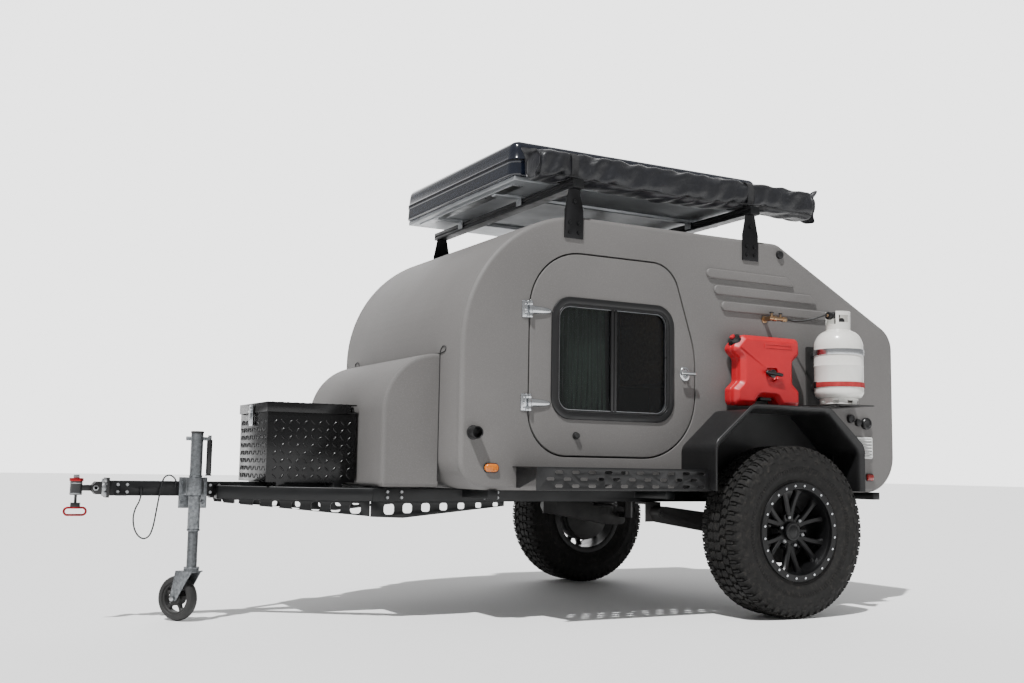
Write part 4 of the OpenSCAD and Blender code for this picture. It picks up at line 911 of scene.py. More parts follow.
pair("stop_tube_", [disc(1623, 863, [(26, 744), (33, 745), (33, 748), (29.5, 750), (29, 754),
          (29, 793), (27.5, 796), (25.5, 796), (24, 794), (24, 752), (5, 751), (0.1, 751)])],
    frame_plastic, "trailer", "black_plastic")
piece("wall_inlets", [disc(-187, 1862, [(16, 745), (22, 746), (22, 756), (20, 759.5), (15, 760.5),
          (0.1, 761)]), disc(-683, 1003, [(20, 745), (24, 746), (24, 758), (22, 762), (17, 764),
          (14, 760), (0.1, 760)]), disc(-737, 984, [(16, 745), (20, 746), (20, 757), (18, 761),
          (0.1, 762.5)]), disc(-795, 980, [(28, 745), (32, 746), (32, 764), (29, 768), (22, 768.5),
          (20, 764), (0.1, 763)])] + bolts([[x + r * math.cos(q), 762, z + r * math.sin(q)] for x,
        z, r in ((-683, 1003, 19.5), (-795, 980, 26)) for q in (0.8, 2.4, 3.9, 5.5)], (0, 1, 0),
      2.4, 3.5, 10, 0.7), frame_plastic, "trailer", "black_plastic", "wall_fittings")
louvre = [raised(rectangle(-842, -724, 788, 906, 10),
                 [(0, 745), (0, 752), (1.5, 754.5), (4, 755), (9, 755), (10, 750), (58, 750)], 6)]
for i in range(6):
    louvre.append(np.stack([[[x, 750 + q, 801 + 17 * i + w] for x in (-833, -733)]
                            for q, w in ((-2, 9), (0, 10), (8, 0), (8, -2), (6, -2), (-2, 6))], 1))
piece("wall_louvre", louvre, white_plastic, "trailer", "vent_plastic")
# Black strips behind the slats: painted shade in the louvre's openings
piece("louvre_gap_painted_shade", [block(-834, -732, 749, 751.2, 797 + 17 * i, 803 + 17 * i, 0.6)
      for i in range(7)], seal_rubber, "trailer", "black_plastic")
for colour, lens, r, (x0, x1, z0, z1) in (("amber", lens_amber, 18.5, (1492, 1564, 686, 724)),
                                          ("red", lens_red, 10, (-846, -796, 668, 704))):
    pair("marker_" + colour + "_base_", [raised(rectangle(x0 - 3, x1 + 3, z0 - 3, z1 + 3, r + 2),
            [(0, 745), (0, 748.5), (1, 750), (3, 750)], 8)], seal_rubber, "trailer",
        "black_plastic")
    pair("marker_" + colour + "_lens_", [raised(rectangle(x0, x1, z0, z1, r),
            [(0.5, 749), (0.8, 754), (2, 757), (6, 760), (9.5, 761)], 8)], lens, "trailer", "lens")
# The tail lamps stand on the rear panel: the same rings, y for x and x for y
tail = raised(rectangle(560, 670, 850, 980, 12), [(0, -1017), (0, -1026), (1.5, -1030), (5, -1032),
                                                  (50, -1032)], 6)[:, :, [1, 0, 2]]
pair("tail_lamp_", [tail], lens_red, "trailer", "lens")
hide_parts("lights")
# Number plate: blank white aluminium with an eased edge and two screws
plate_paint = coated("white_painted_aluminium", "#d9dadb", "#e4e5e6", 0.35, 4.0, 0.03, 200)
eased("number_plate", plate_paint, 1.5)

# ---------------------------------------------------------------------------
# Roof rack: two extruded aluminium bars with T-slots, anodised black, on steel legs bolted to the
# side walls; a moulded roof vent stands between them.
# ---------------------------------------------------------------------------
black_anodised = coated("black_anodised_aluminium", "#141415", "#1e1e20", 0.38, 2.0, 0.03, 90,
                        Metallic=0.6)
eased("roof_rack", black_anodised, 2.2)
bar_x = (1104, 15)
rack_parts = []
for x in bar_x:
    for sign in (1, -1):
        rack_parts += bolts([[x + p, sign * 754, q] for p in (-26, 26) for q in (1838, 1884)],
                            (0, sign, 0), 9, 7)
        rack_parts += bolts([[x, sign * 754, 1990]], (0, sign, 0), 11, 9)
        rack_parts += [block(x - 29, x + 29, *sorted((sign * 789, sign * 795)), 2051, 2091, 2)]
piece("rack_bolts_and_caps", rack_parts, frame_coat, "trailer", "rack_alloy")
vent_plastic = coated("white_uv_stable_abs", "#b4b7b9", "#cdd0d2", 0.42, 3.0, 0.05, 120)
smoked_plastic = coated("smoked_acrylic_lid", "#1b1d1f", "#25282a", 0.12, 60.0, 0.02, 120)


def flat_rings(corners, levels, steps=8):
    """Rings of a rounded outline in plan, at (inset, z)."""
    return raised(corners, levels, steps)[:, :, [0, 2, 1]]


piece("vent_frame", [flat_rings(rectangle(752, 988, -378, -52, 20),
        [(0, 1921), (0, 1926), (2, 1929), (8, 1932), (10, 1946), (40, 1947)])], vent_plastic,
    "trailer", "vent_plastic")
piece("vent_lid", [flat_rings(rectangle(740, 1000, -390, -40, 34),
                              [(3, 1943), (0, 1945), (0, 1956), (2, 1964), (8, 1972), (18, 1978),
                               (36, 1981.5), (60, 1983), (90, 1984)])],
      smoked_plastic, "trailer", "vent_plastic", "roof_vent", sharp=50)

# ---------------------------------------------------------------------------
# Roof tent, folded: a two-part shell of gloss black acrylic-capped ABS closed on a rubber gasket,
# over a tray of bare aluminium composite that clamps to the rack.
# ---------------------------------------------------------------------------
# Gloss ABS: blue-black, mirror-like coat, faint long waves from the forming
tent_gloss = coated("gloss_black_acrylic_capped_abs", "#0b0f18", "#0f1420", 0.16, 90.0, 0.25, 500,
    0.03, Coat_Weight=0.4, Coat_Roughness=0.08)
mill_finish = coated("mill_finish_aluminium_composite", "#85888b", "#a2a5a8", 0.4, 40.0, 0.04, 260,
                     Metallic=0.55)
tent_plan = rectangle(-210, 1350, -750, 580, 62)
piece("tent_hard_shell", [flat_rings(tent_plan, [(26, 2130.5), (10, 2130.5), (3, 2133), (0, 2139),
          (1, 2150), (4, 2196), (1.5, 2199), (0.6, 2203), (0.6, 2206), (9, 2206.2), (9, 2212.8),
          (0.6, 2213), (0.2, 2217), (2.5, 2221), (5, 2225), (9, 2262), (13, 2282), (19, 2295),
          (28, 2304), (40, 2309.5), (58, 2314)], 14)], tent_gloss, "trailer", "tent_gloss",
    "tent_shell", sharp=40)


def grid_faces(m, n, first=0):
    """Four-sided faces between m by n points, counted from first: (i, j) (i + 1, j) ..."""
    k = np.arange(m * n).reshape(m, n) + first
    return np.stack([k[:-1, :-1], k[1:, :-1], k[1:, 1:], k[:-1, 1:]], -1).reshape(-1, 4)


crown_n = 49
cu, cv = np.meshgrid(*[np.linspace(-1, 1, crown_n)] * 2, indexing="ij")
crown_x, crown_y = 570 + 722 * cu, -85 + 607 * cv
crown_rise = (1 - cu ** 6) * (1 - cv ** 6)
crown_ribs = 3.0 * np.clip(np.sin(crown_y / 62) * 1.6, -1, 1) \
    * np.clip((0.80 - np.abs(cu)) * 12, 0, 1) * np.clip((0.84 - np.abs(cv)) * 12, 0, 1)
crown_z = 2310 + 17 * crown_rise ** 0.6 + crown_ribs * (crown_rise > 0)
cells = np.arange(crown_n ** 2).reshape(crown_n, crown_n)
rim = np.concatenate([cells[0, :-1], cells[:-1, -1], cells[-1, :0:-1], cells[:0:-1, 0]])
walls = np.stack([rim, np.roll(rim, -1), np.roll(rim, -1) + cells.size, rim + cells.size], -1)
piece("tent_crown", [(np.stack([np.stack([crown_x, crown_y, z], -1)
                                for z in (crown_z, np.full_like(crown_x, 2300))]),
                      np.concatenate([grid_faces(crown_n, crown_n),
                                      grid_faces(crown_n, crown_n, cells.size)[:, ::-1],
                                      walls]).tolist())],
      tent_gloss, "trailer", "tent_gloss", sharp=60)
piece("tent_gasket",
      [flat_rings(tent_plan, [(14, 2205.5), (4.5, 2206.4), (4.5, 2212.6), (14, 2213.5)], 14)],
      seal_rubber, "trailer", "tent_gloss")
eased("tent_base", mill_finish, 2.5)
clamps = []
for x in bar_x:
    for y in (260, -430):
        clamps += [block(x - 38, x + 38, y - 26, y + 26, 2092.3, 2108, 2),
                   block(x - 38, x - 32, y - 26, y + 26, 2060, 2096, 1.5),
                   block(x + 32, x + 38, y - 26, y + 26, 2060, 2096, 1.5)]
ladder_rail = [block(x, x + 60, -640, 480, 2100, 2110, 2) for x in (1240, -160)]
piece("tent_clamps", clamps + ladder_rail, bright_anodised, "trailer", "tray_alloy")

# ---------------------------------------------------------------------------
# Awning bag: heavy PVC-coated polyester rolled round poles. It is held at both bars, sags between
# them and past its ends, and closes with a zip along its lower outer edge.
# ---------------------------------------------------------------------------
# PVC-coated polyester: dull black, wrinkled, fold sheen, weave drawn at 4 mm
awning_pvc = new_material("pvc_coated_polyester", Roughness=0.42, Sheen_Weight=0.08,
    Sheen_Roughness=0.4)
awning_at = add(awning_pvc, "ShaderNodeTexCoord").outputs["Object"]
awning_dust = add(awning_pvc, "ShaderNodeTexNoise", {"Vector": awning_at, "Scale": 7.0, "Detail": 7,
                                                     "Roughness": 0.65}).outputs[0]
ramp(awning_pvc, awning_dust, [(0.3, "#0b0c10"), (0.6, "#121318"), (0.8, "#1e2026")], "Base Color")
awning_crease = add(awning_pvc, "ShaderNodeTexNoise", {"Vector": awning_at, "Scale": 26.0,
      "Detail": 4, "Distortion": 1.6}).outputs[0]
awning_weave = add(awning_pvc, "ShaderNodeTexWave", {"Vector": awning_at, "Scale": 40.0},
                   bands_direction="DIAGONAL").outputs[1]
crease_bump = add(awning_pvc, "ShaderNodeBump", {"Height": awning_crease, "Distance": 0.004,
                                                 "Strength": 0.7}).outputs[0]
add(awning_pvc, "ShaderNodeBump", {"Height": awning_weave, "Distance": 0.0003, "Strength": 0.5,
                                   "Normal": crease_bump}, "Normal")


def folds(x, a, seed):
    """Wrinkles: a fixed sum of waves along the bag and round it: sin(2 pi x / l + n a + phase)."""
    rng = np.random.default_rng(seed)
    total = 0
    for _ in range(14):
        lx, na = rng.uniform(60, 260), rng.integers(1, 7)
        total = total + rng.uniform(0.4, 1) * np.sin(2 * np.pi * x / lx + na * a
            + rng.uniform(0, 6.28))
    return total / 14


bag_around, bag_y0, bag_z0 = 96, 683, 2168


def sag(x):
    """Depth of the belly: 4 h s (1 - s) between the bars, and a square law past each."""
    s = (x - 15) / (1104 - 15)
    return np.where((s > 0) & (s < 1), 4 * 15 * s * (1 - s),
                    np.where(s <= 0, 10 * (s / 0.406) ** 2, 5 * ((s - 1) / 0.17) ** 2))


def boxy(a):
    """The bag's section, a square with round corners: sign(c) |c|^0.62 of cosine and sine."""
    return [np.sign(c) * np.abs(c) ** 0.62 for c in (np.cos(a), np.sin(a))]


bag_u = np.linspace(0, 1, 260)[:, None]
bag_a = full_turn(bag_around)[None, :]
bag_x = -427 + 1720 * bag_u
pinch = 1 - 0.10 * np.exp(-((bag_x - 15) / 46) ** 2) - 0.10 * np.exp(-((bag_x - 1104) / 46) ** 2)
end_close = np.clip(np.minimum(bag_u, 1 - bag_u) / 0.012, 0, 1) ** 0.5 * 0.14 + 0.86
swell = pinch * end_close * (1 + 0.26 * folds(bag_x, bag_a, 4))
boxy_y, boxy_z = boxy(bag_a)
bag_y = bag_y0 + 80 * boxy_y * swell
bag_z = bag_z0 + 72 * boxy_z * swell - sag(bag_x) * (0.75 - 0.45 * np.sin(bag_a))
# The cover lies on the bars, whose tops are at 2093
on_bar = (np.abs(bag_x - 15) < 40) | (np.abs(bag_x - 1104) < 40)
bag_z = np.maximum(bag_z, np.where(on_bar, 2093, 2040))
awning = piece("awning_cover", [np.stack([np.broadcast_to(bag_x, bag_y.shape), bag_y, bag_z], -1)],
               awning_pvc, "trailer", "awning_pvc", "awning_bag", sharp=70)


def mouth(x_end, out, seed, points):
    """The loose end of the cover: the bag's rim carried on by out millimetres, flaring by
    1 + s2 sum(h exp(-((a - a0) / w)2)) into points, and closed on itself 2.5 mm thick."""
    a = full_turn(bag_around)
    boxy_y, boxy_z = boxy(a)
    outer, inner = [], []
    for step in (0, 0.3, 0.6, 1):
        flare = 0.84 + 0.10 * step + 0.5 * step * folds(x_end + 60 * step, a, seed)
        reach = np.zeros_like(a)
        for a0, height, width in points:
            gap = (a - a0 + np.pi) % (2 * np.pi) - np.pi
            bump = np.exp(-(gap / width) ** 2)
            flare, reach = flare + height * step ** 2 * bump, reach + bump
        x = x_end + out * step * (0.35 + 0.65 * np.clip(reach, 0, 1))
        for rings, thin in ((outer, 0), (inner, 2.5)):
            rings.append(np.stack([x, bag_y0 + (80 * flare - thin) * boxy_y,
                                   bag_z0 - sag(x_end) * 0.75 + (72 * flare - thin) * boxy_z], -1))
    return np.stack(outer + inner[::-1]), {"loop": True}


end_flaps = piece("awning_end_flaps", [mouth(1286, 42, 3, [(2.0, 0.42, 0.32), (-0.7, 0.16, 0.5)]),
                                       mouth(-420, -42, 7, [(1.1, 0.30, 0.35), (-1.4, 0.28, 0.4)])],
                  awning_pvc, "trailer", "awning_pvc", sharp=80)
zip_x = np.linspace(-410, 1280, 90)
zip_line = np.stack([zip_x, bag_y0 + 70 * np.ones(90), bag_z0 - 57 - sag(zip_x)], -1)
strap_y, strap_z = boxy(full_turn(60))
straps = [(np.stack([np.stack([np.full(60, x + dx), bag_y0 + (76.5 + out) * strap_y,
                               np.maximum(bag_z0 - 1 + (69 + out) * strap_z, 2092.6)], -1)
                     for dx, out in ((-19, 0), (-19, 2.2), (19, 2.2), (19, 0))]), {"loop": True})
          for x in (15, 1104)]
webbing = coated("black_nylon_webbing", "#161617", "#222224", 0.75, 2.5, 0.3, 30)
piece("awning_straps", straps, webbing, "trailer", "awning_pvc")
piece("awning_zip", [tube(zip_line, 3.2, 8)], webbing, "trailer", "awning_pvc", sharp=80)

# ---------------------------------------------------------------------------
# Fuel can: rotationally moulded red polyethylene, 12 mm eased edges, notches at its sides and foot,
# clamped to a steel mount by one T-handled screw through its middle.
# ---------------------------------------------------------------------------
# Polyethylene: saturated red, waxy, slightly scuffed, with orange peel from the mould
can_red = coated("rotomoulded_red_polyethylene", "#a80d1a", "#ba1420", 0.42, 9.0, 0.25, 220,
                 Subsurface_Weight=0.05, Subsurface_Scale=0.01)
can_middle = [-13, 1221.5]


def can(t=0, steps=6):
    """Outline of the can, moved inwards by t: each corner slides along its bisector by
    t / sin(half angle), inwards at an outward corner and outwards at a notch's, then becomes the
    curve (1 - k)2 a + 2 k (1 - k) p + k2 b between points r before and after it."""
    c = np.array([[216, -180, 30], [216, -96, 12], [172, -58, 12], [172, 58, 12], [216, 96, 12],
                  [216, 120, 16], [156, 180, 16], [-216, 180, 34], [-216, 96, 12], [-172, 58, 12],
                  [-172, -58, 12], [-216, -96, 12], [-216, -180, 30], [-88, -180, 14],
                  [-52, -134, 12], [52, -134, 12], [88, -180, 14]], float)
    p, r = c[:, :2], c[:, 2:]
    before, after = unit(np.roll(p, 1, 0) - p), unit(np.roll(p, -1, 0) - p)
    turn = np.sign(before[:, 0] * after[:, 1] - before[:, 1] * after[:, 0])[:, None]
    half = np.arccos(np.clip((before * after).sum(1, keepdims=True), -1, 1)) / 2
    p = p - turn * unit(before + after) * t / np.sin(half) + can_middle
    r = np.maximum(r + 0.5 * turn * t, 4)
    a, b = p + before * r, p + after * r
    k = np.linspace(0, 1, steps + 1)[None, :, None]
    return ((1 - k) ** 2 * a[:, None] + 2 * k * (1 - k) * p[:, None] + k ** 2
        * b[:, None]).reshape(-1, 2)


can_levels = [(24, 766.6), (6, 766.6), (1.5, 769), (0, 773), (0, 811), (1.4, 812.5), (1.4, 814.5),
              (0, 816), (0, 836), (0.8, 839.5), (2.6, 842.5), (19, 858), (21.5, 860.2), (25, 861.5),
              (29, 862), (34, 862)]
# The round recess for the clamp: rings about its middle, along the rays to the outline's points
recess = np.arctan2(can(34)[:, 1] - 1209, can(34)[:, 0] + 33)
rings = [upright(can(t), y) for t, y in can_levels]
for r, y in ((54, 862), (48, 862), (43, 861), (40.5, 857), (39.5, 845), (36, 841.5), (0.1, 841)):
    rings.append(upright(np.stack([-33 + r * np.cos(recess), 1209 + r * np.sin(recess)], -1), y))
piece("fuel_can_body", [np.stack(rings)], can_red, "trailer", "red_plastic", "fuel_can", sharp=24)
cap_turn = math.radians(42)
cap_axis = np.array([math.sin(cap_turn), 0, math.cos(cap_turn)])
cap_at = np.array([can_middle[0] + 180, 814, can_middle[1] + 144])
piece("fuel_can_cap", [rod(cap_at, cap_at + cap_axis * 26, 33, 14, 3),
                       rod(cap_at, cap_at + cap_axis * 8, 36, 36, 1.5)],
      frame_plastic, "trailer", "black_plastic")
piece("fuel_can_vent", [rod(cap_at + cap_axis * 24, cap_at + cap_axis * 40, 14, 24, 4)],
      can_red, "trailer", "red_plastic")
piece("fuel_can_clamp", [rod([-33, 842, 1209], [-33, 868, 1209], 13, ease=1.5),
                         rod([-33, 866, 1209], [-33, 872, 1209], 22, ease=2),
                         capsule([-80, 879, 1204], [14, 879, 1214], 9.5),
                         block(-50, 24, 796, 834, 1070, 1090, 4)],
      frame_plastic, "trailer", "black_plastic")
piece("fuel_can_rib", [block(x0, x1, 861.2, 864.6, z0, z1, 1.5) for x0, x1, z0, z1 in
                       ((-160, 10, 1340, 1346), (-160, 10, 1358, 1364), (-167, -160, 1340, 1364),
                        (10, 17, 1340, 1364))], can_red, "trailer", "red_plastic")

# Brackets for the can and the bottle: cut and bent plate, painted grey-black
eased("wall_brackets", chassis_paint, 1.5)

# ---------------------------------------------------------------------------
# Gas bottle: white enamelled steel, drawn in two halves with a weld round the middle, a foot ring
# with holes and a collar; held by a polished steel band and a red webbing strap with a ratchet.
# ---------------------------------------------------------------------------
bottle_white = coated("white_enamelled_steel", "#d3d2cc", "#e3e2dd", 0.24, 8.0, 0.06, 160,
                      Coat_Weight=0.4, Coat_Roughness=0.12)
bottle_at = np.array([-425.0, 930.0, 1060.0])


def upright_turned(profile, sides=80, loop=False, gap=None):
    """A profile (r, h) turned about the bottle's axis; with gap, only that arc in degrees."""
    r, h = np.array(profile, float).T
    a = full_turn(sides) if gap is None else np.linspace(*np.radians(gap), sides)
    rings = np.stack([r[:, None] * np.cos(a), r[:, None] * np.sin(a),
                      np.broadcast_to(h[:, None], (len(r), sides))], -1) + bottle_at
    return (rings, {"loop": loop}) if gap is None else rings.transpose(1, 0, 2)


dome = [(126 - 70 + 70 * math.cos(q), 300 + 90 * math.sin(q))
    for q in np.radians(np.arange(0, 80, 6))]
foot = [(86 + 40 * math.cos(q), 70 + 40 * math.sin(q)) for q in np.radians(np.arange(-60, 1, 7.5))]
body = [(0.1, 30), (50, 27), (84, 31)] + foot + [(126, 196), (127.2, 199), (127.8, 202),
    (127.2, 205), (126, 208), (126, 290)] + dome + [(62, 396), (40, 402), (24, 408), (0.1, 409)]
bottle_parts = [upright_turned(body)]
# Collar: a wall from 108 to 325 degrees, posts and a top band round a window at 50 to 100
for a0, a1, z0, z1 in ((100, 325, 396, 489), (-35, 35, 396, 420), (35, 50, 396, 489),
    (50, 100, 396, 430), (50, 100, 470, 489)):
    n = max(4, int((a1 - a0) / 4))
    bottle_parts.append(upright_turned([(60, z0), (62.6, z0), (62.6, z1 - 2), (63.6, z1),
            (61.3, z1 + 2), (59, z1), (60, z1 - 2)], n, gap=(a0, a1)))
for a0 in range(0, 360, 45):
    bottle_parts.append(upright_turned([(94, 0), (97, 0), (97, 30), (94, 30)], 9,
          gap=(a0, a0 + 27)))
for z0, z1 in ((0, 6), (22, 36)):
    bottle_parts.append(upright_turned([(94, z0), (97, z0), (97.5, z1), (94, z1)], 80, loop=True))
piece("gas_bottle_steel", bottle_parts, bottle_white, "trailer", "bottle_enamel", "gas_bottle",
    sharp=34)
piece("bottle_band_steel", [upright_turned([(126.4, 258), (129.5, 258), (130.2, 262), (130.2, 284),
                                            (129.5, 288), (126.4, 288)], 96, loop=True)],
      stainless, "trailer", "stainless")
# Red polyester webbing, ribbed along its length, ribs drawn 3 mm apart
webbing_red = coated("red_polyester_webbing", "#8a1c1e", "#a52a2c", 0.8, 3.0, 0.35, 40)
piece("bottle_strap", [upright_turned([(126.4, 90), (129.4, 90), (129.9, 93), (129.9, 113),
          (129.4, 116), (126.4, 116)], 96, loop=True)], webbing_red, "trailer", "red_plastic")
piece("strap_ratchet", [block(-342, -300, 872, 900, 1148, 1180, 4),
                        rod([-321, 864, 1164], [-321, 908, 1164], 7)],
      frame_plastic, "trailer", "black_plastic")

# Gas line: forged and machined brass fittings, a black regulator and a short rubber hose
brass = coated("machined_brass", "#96785a", "#b59a7c", 0.32, 3.0, 0.05, 30, Metallic=1.0)
outlet_z = 1528
piece("gas_fittings", [rod([-425, 930, 1466], [-425, 930, 1522], 10, ease=1.5),
                       rod([-367, 930, outlet_z], [-345, 930, outlet_z], 8.5, 6, 1),
                       rod([-374, 930, outlet_z], [-362, 930, outlet_z], 12, 6, 1.5),
                       rod([-180, 806, 1506], [-62, 806, 1506], 10, ease=1.5),
                       rod([-176, 806, 1506], [-150, 806, 1506], 14, 6, 2),
                       rod([-112, 806, 1506], [-88, 806, 1506], 14.5, ease=2.5),
                       rod([-80, 746, 1506], [-80, 806, 1506], 12, ease=2),
                       rod([-80, 806, 1506], [-80, 806, 1534], 6.5),
                       rod([-140, 806, 1506], [-140, 806, 1532], 5.5),
                       rod([-80, 746, 1506], [-80, 752, 1506], 21, 6, 1)],
      brass, "trailer", "brass", "gas_line")
piece("regulator_body", [block(-421, -372, 906, 954, 1518, 1542, 7),
      rod([-398, 930, 1540], [-398, 930, 1548], 20, ease=2),
      rod([-376, 930, outlet_z], [-352, 930, outlet_z], 21, 30, 5),
      rod([-425, 930, 1480], [-425, 930, 1516], 19, 10, 3),
      rod([-425, 930, 1500], [-405, 980, 1500], 16, 10, 4),
      block(-91, -69, 800, 812, 1532, 1540, 2), block(-150, -130, 801, 811, 1530, 1538, 2)],
    frame_plastic, "trailer", "black_plastic")
hose_rubber = coated("black_gas_hose_rubber", "#121212", "#1b1b1b", 0.5, 2.5, 0.1, 40)
hose_route = place([[-345, 930, 1528], [-333, 930, 1528], [-320, 925, 1524], [-307, 918, 1519],
                    [-294, 908, 1514], [-281, 896, 1509], [-268, 882, 1505], [-256, 867, 1502],
                    [-245, 851, 1500], [-235, 836, 1500], [-226, 823, 1501], [-216, 813, 1503],
                    [-205, 808, 1505], [-193, 806, 1506], [-180, 806, 1506]])
hose_line = catmull(hose_route, 5)
hose = piece("gas_hose_rubber", [tube(hose_line * 1000 + axle, 5, 14)], hose_rubber, "trailer",
             "cable_jacket", "gas_hose", sharp=70)

# ---------------------------------------------------------------------------
# Toolbox on the drawbar: folded tread plate, painted black, with a hinged lid of the same plate and
# an over-centre latch of stainless steel.
# ---------------------------------------------------------------------------
# Gloss black over rolled tread plate: deep black, with the bars catching the light
plate_coat = coated("gloss_black_painted_tread_plate", "#050506", "#0a0a0b", 0.27, 5.0, 0.05, 150,
                    Specular_IOR_Level=0.4)
eased("toolbox", plate_coat, 1.5)
eased("toolbox_lid", plate_coat, 1.8)


def tread_bars(corner, u, v, count_u, count_v, pitch=36.0):
    """The raised bars of a tread plate: lenses 31 mm long, 9 wide and 3 high on a square grid, each
    turned a quarter from its neighbours, on the side of u x v:
    centre + l cos a * along + w sin a * across + h * normal."""
    corner, u, v = (np.asarray(x, float) for x in (corner, u, v))
    normal = np.cross(u, v)
    a = full_turn(10)[:, None]
    shapes = []
    for i in range(count_u):
        for j in range(count_v):
            centre = corner + u * pitch * (i + 0.5) + v * pitch * (j + 0.5)
            s = 1 if (i + j) % 2 else -1
            along, across = (u + s * v) / math.sqrt(2), (u - s * v) / math.sqrt(2)
            shapes.append(np.stack([centre + l * np.cos(a) * along + w * np.sin(a) * across + h
                    * normal for l, w, h in ((15.5, 4.4, -0.4), (14.2, 3.4, 1.8),
                      (11.2, 1.6, 2.8))]))
    return shapes


piece("toolbox_tread", tread_bars([2396, 226, 632], [-1, 0, 0], [0, 0, 1], 11, 8)
      + tread_bars([2416, -216, 632], [0, 1, 0], [0, 0, 1], 12, 8)
      + tread_bars([1996, -226, 632], [1, 0, 0], [0, 0, 1], 11, 8), plate_coat, "trailer",
      "black_texture", sharp=50)
piece("lid_tread", tread_bars([2006, -216, 992], [1, 0, 0], [0, 1, 0], 11, 12), plate_coat,
      "toolbox_lid", "black_texture", sharp=50)
piece("lid_latch", [block(2428.5, 2432, -27, 27, 884, 984, 1.2),
                    block(2431, 2438, -15, 15, 894, 950, 2.5),
                    rod([2436, -19, 952], [2436, 19, 952], 5),
                    block(2431, 2437, -9, 9, 956, 976, 2)], stainless, "toolbox_lid", "stainless")
piece("lid_seal", [block(1992, 2414, 228.5, 231, 950, 952.4, 0.8),
                   block(1992, 2414, -231, -228.5, 950, 952.4, 0.8)], seal_rubber, "toolbox_lid",
      "black_texture")

# ---------------------------------------------------------------------------
# Jack: a galvanised tube and screw with a side-wound crank, clamped to the beam, on a fork with a
# solid rubber wheel.
# ---------------------------------------------------------------------------
# Hot-dip galvanised steel: blue-grey, mottled by its spangle 12 mm across
galvanised = coated("hot_dip_galvanised_steel", "#585b5d", "#888b8e", 0.42, 9.0, 0.06, 14,
    Metallic=0.9)
eased("jack_bracket", galvanised, 2)
eased("jack_tube", galvanised, 1.2)
eased("jack_leg", galvanised, 1.2)
eased("caster_fork", galvanised, 1.5)
jack, crank_x = np.array([2708.0, 120.0, 0]), 2651.0
piece("jack_crank", [rod(jack + [0, 0, 838], jack + [0, 0, 849], 29, ease=3),
                     rod([crank_x, 120, 655], [crank_x, 120, 812], 12.5, ease=4),
                     rod([crank_x, 120, 648], [crank_x, 120, 655], 14, ease=2)],
      frame_plastic, "trailer", "black_plastic")
piece("jack_bands", [rod(jack + [0, 0, z], jack + [0, 0, z + 7], 29.5, ease=1.2)
      for z in (402, 552, 642)] + bolts([[jack[0] + p, 49, q] for p in (-54, 40)
        for q in (528, 612)], (0, 1, 0), 9, 8), galvanised, "trailer", "galvanised")
caster_rubber = coated("black_solid_rubber", "#161616", "#242322", 0.62, 4.0, 0.15, 60)
caster_turn = math.radians(-53)
caster_forward = np.array([math.cos(caster_turn), math.sin(caster_turn), 0])
caster_across = np.array([-math.sin(caster_turn), math.cos(caster_turn), 0])
caster_hub = jack + caster_forward * 70 + [0, 0, 100.0]


def on_caster(p):
    """Points about the wheel axis Y, turned to the caster's heading and set on its hub."""
    return (caster_hub + p[..., :1] * caster_forward + p[..., 1:2] * caster_across
            + p[..., 2:] * [0, 0, 1])


caster_parts = [turned([(69, -10), (71, -20), (74, -24), (84, -25), (92, -22), (97, -15),
        (99.6, -6), (100, 0), (99.6, 6), (97, 15), (92, 22), (84, 25), (74, 24), (71, 20),
        (69, 10)], 80, loop=True), turned([(61, -14), (64, -18), (71, -18), (71, 18), (64, 18),
        (61, 14)], 80, loop=True), turned([(8.4, -25), (28, -25), (31, -22), (31, 22), (28, 25),
        (8.4, 25)], 40, loop=True)]
for i in range(5):
    a = 2 * math.pi * i / 5 + 0.5
    out, along = np.array([math.cos(a), 0, math.sin(a)]), np.array([-math.sin(a), 0, math.cos(a)])
    sections = []
    for r, w, d in ((26, 13, 11), (34, 9.5, 10), (46, 8, 9), (58, 10, 10), (66, 16, 12)):
        sections.append([out * r + along * w * p + np.array([0, 1, 0]) * d * q for p,
              q in ((-1, -0.6), (-0.6, -1), (0.6, -1), (1, -0.6), (1, 0.6), (0.6, 1), (-0.6, 1),
                (-1, 0.6))])
    caster_parts.append(np.array(sections))
piece("caster_wheel_rubber", moved(caster_parts, on_caster), caster_rubber, "caster_wheel",
      "caster_rubber", "caster_wheel")
piece("caster_axle", [rod(caster_hub - caster_across * 42, caster_hub + caster_across * 42, 7.5,
        ease=1), rod(caster_hub + caster_across * 36.5, caster_hub + caster_across * 44, 12, 6, 1),
      rod(caster_hub - caster_across * 44, caster_hub - caster_across * 36.5, 12, 6, 1)],
    zinc_plate, "caster_fork", "zinc")

# ---------------------------------------------------------------------------
# Articulating coupler: forged and painted black, turning about X in its yoke, with an anodised red
# collar round the receiver, a pull ring under it and a knob on top.
# ---------------------------------------------------------------------------
forged_black = coated("forged_black_e_coat", "#101011", "#1b1b1c", 0.36, 5.0, 0.12, 60)
for node in ("coupler_yoke", "coupler_block", "coupler_receiver"):
    eased(node, forged_black, 2)
red_anodised = coated("red_anodised_aluminium", "#8c1218", "#a51a20", 0.28, 3.0, 0.02, 40,
    Metallic=0.7)
pull_path = upright(rounded(rectangle(3154, 3246, 469, 501, 16), 0, 8), 0)
pull_normal = np.cross(unit(np.roll(pull_path, -1, 0) - np.roll(pull_path, 1, 0)), [0, 1, 0])
a = full_turn(14)[None, :, None]
piece("coupler_ring", [(pull_path[:, None] + 5 * (np.cos(a) * pull_normal[:, None] + np.sin(a)
          * np.array([0, 1, 0])), {"loop": True})], red_anodised, "coupler_receiver", "red_plastic",
    sharp=60)
piece("coupler_collar", [rod([3200, 0, 617], [3200, 0, 631], 30, 48, 2),
                         rod([3200, 0, 497], [3200, 0, 505], 22, 40, 2)],
      red_anodised, "coupler_receiver", "red_plastic")
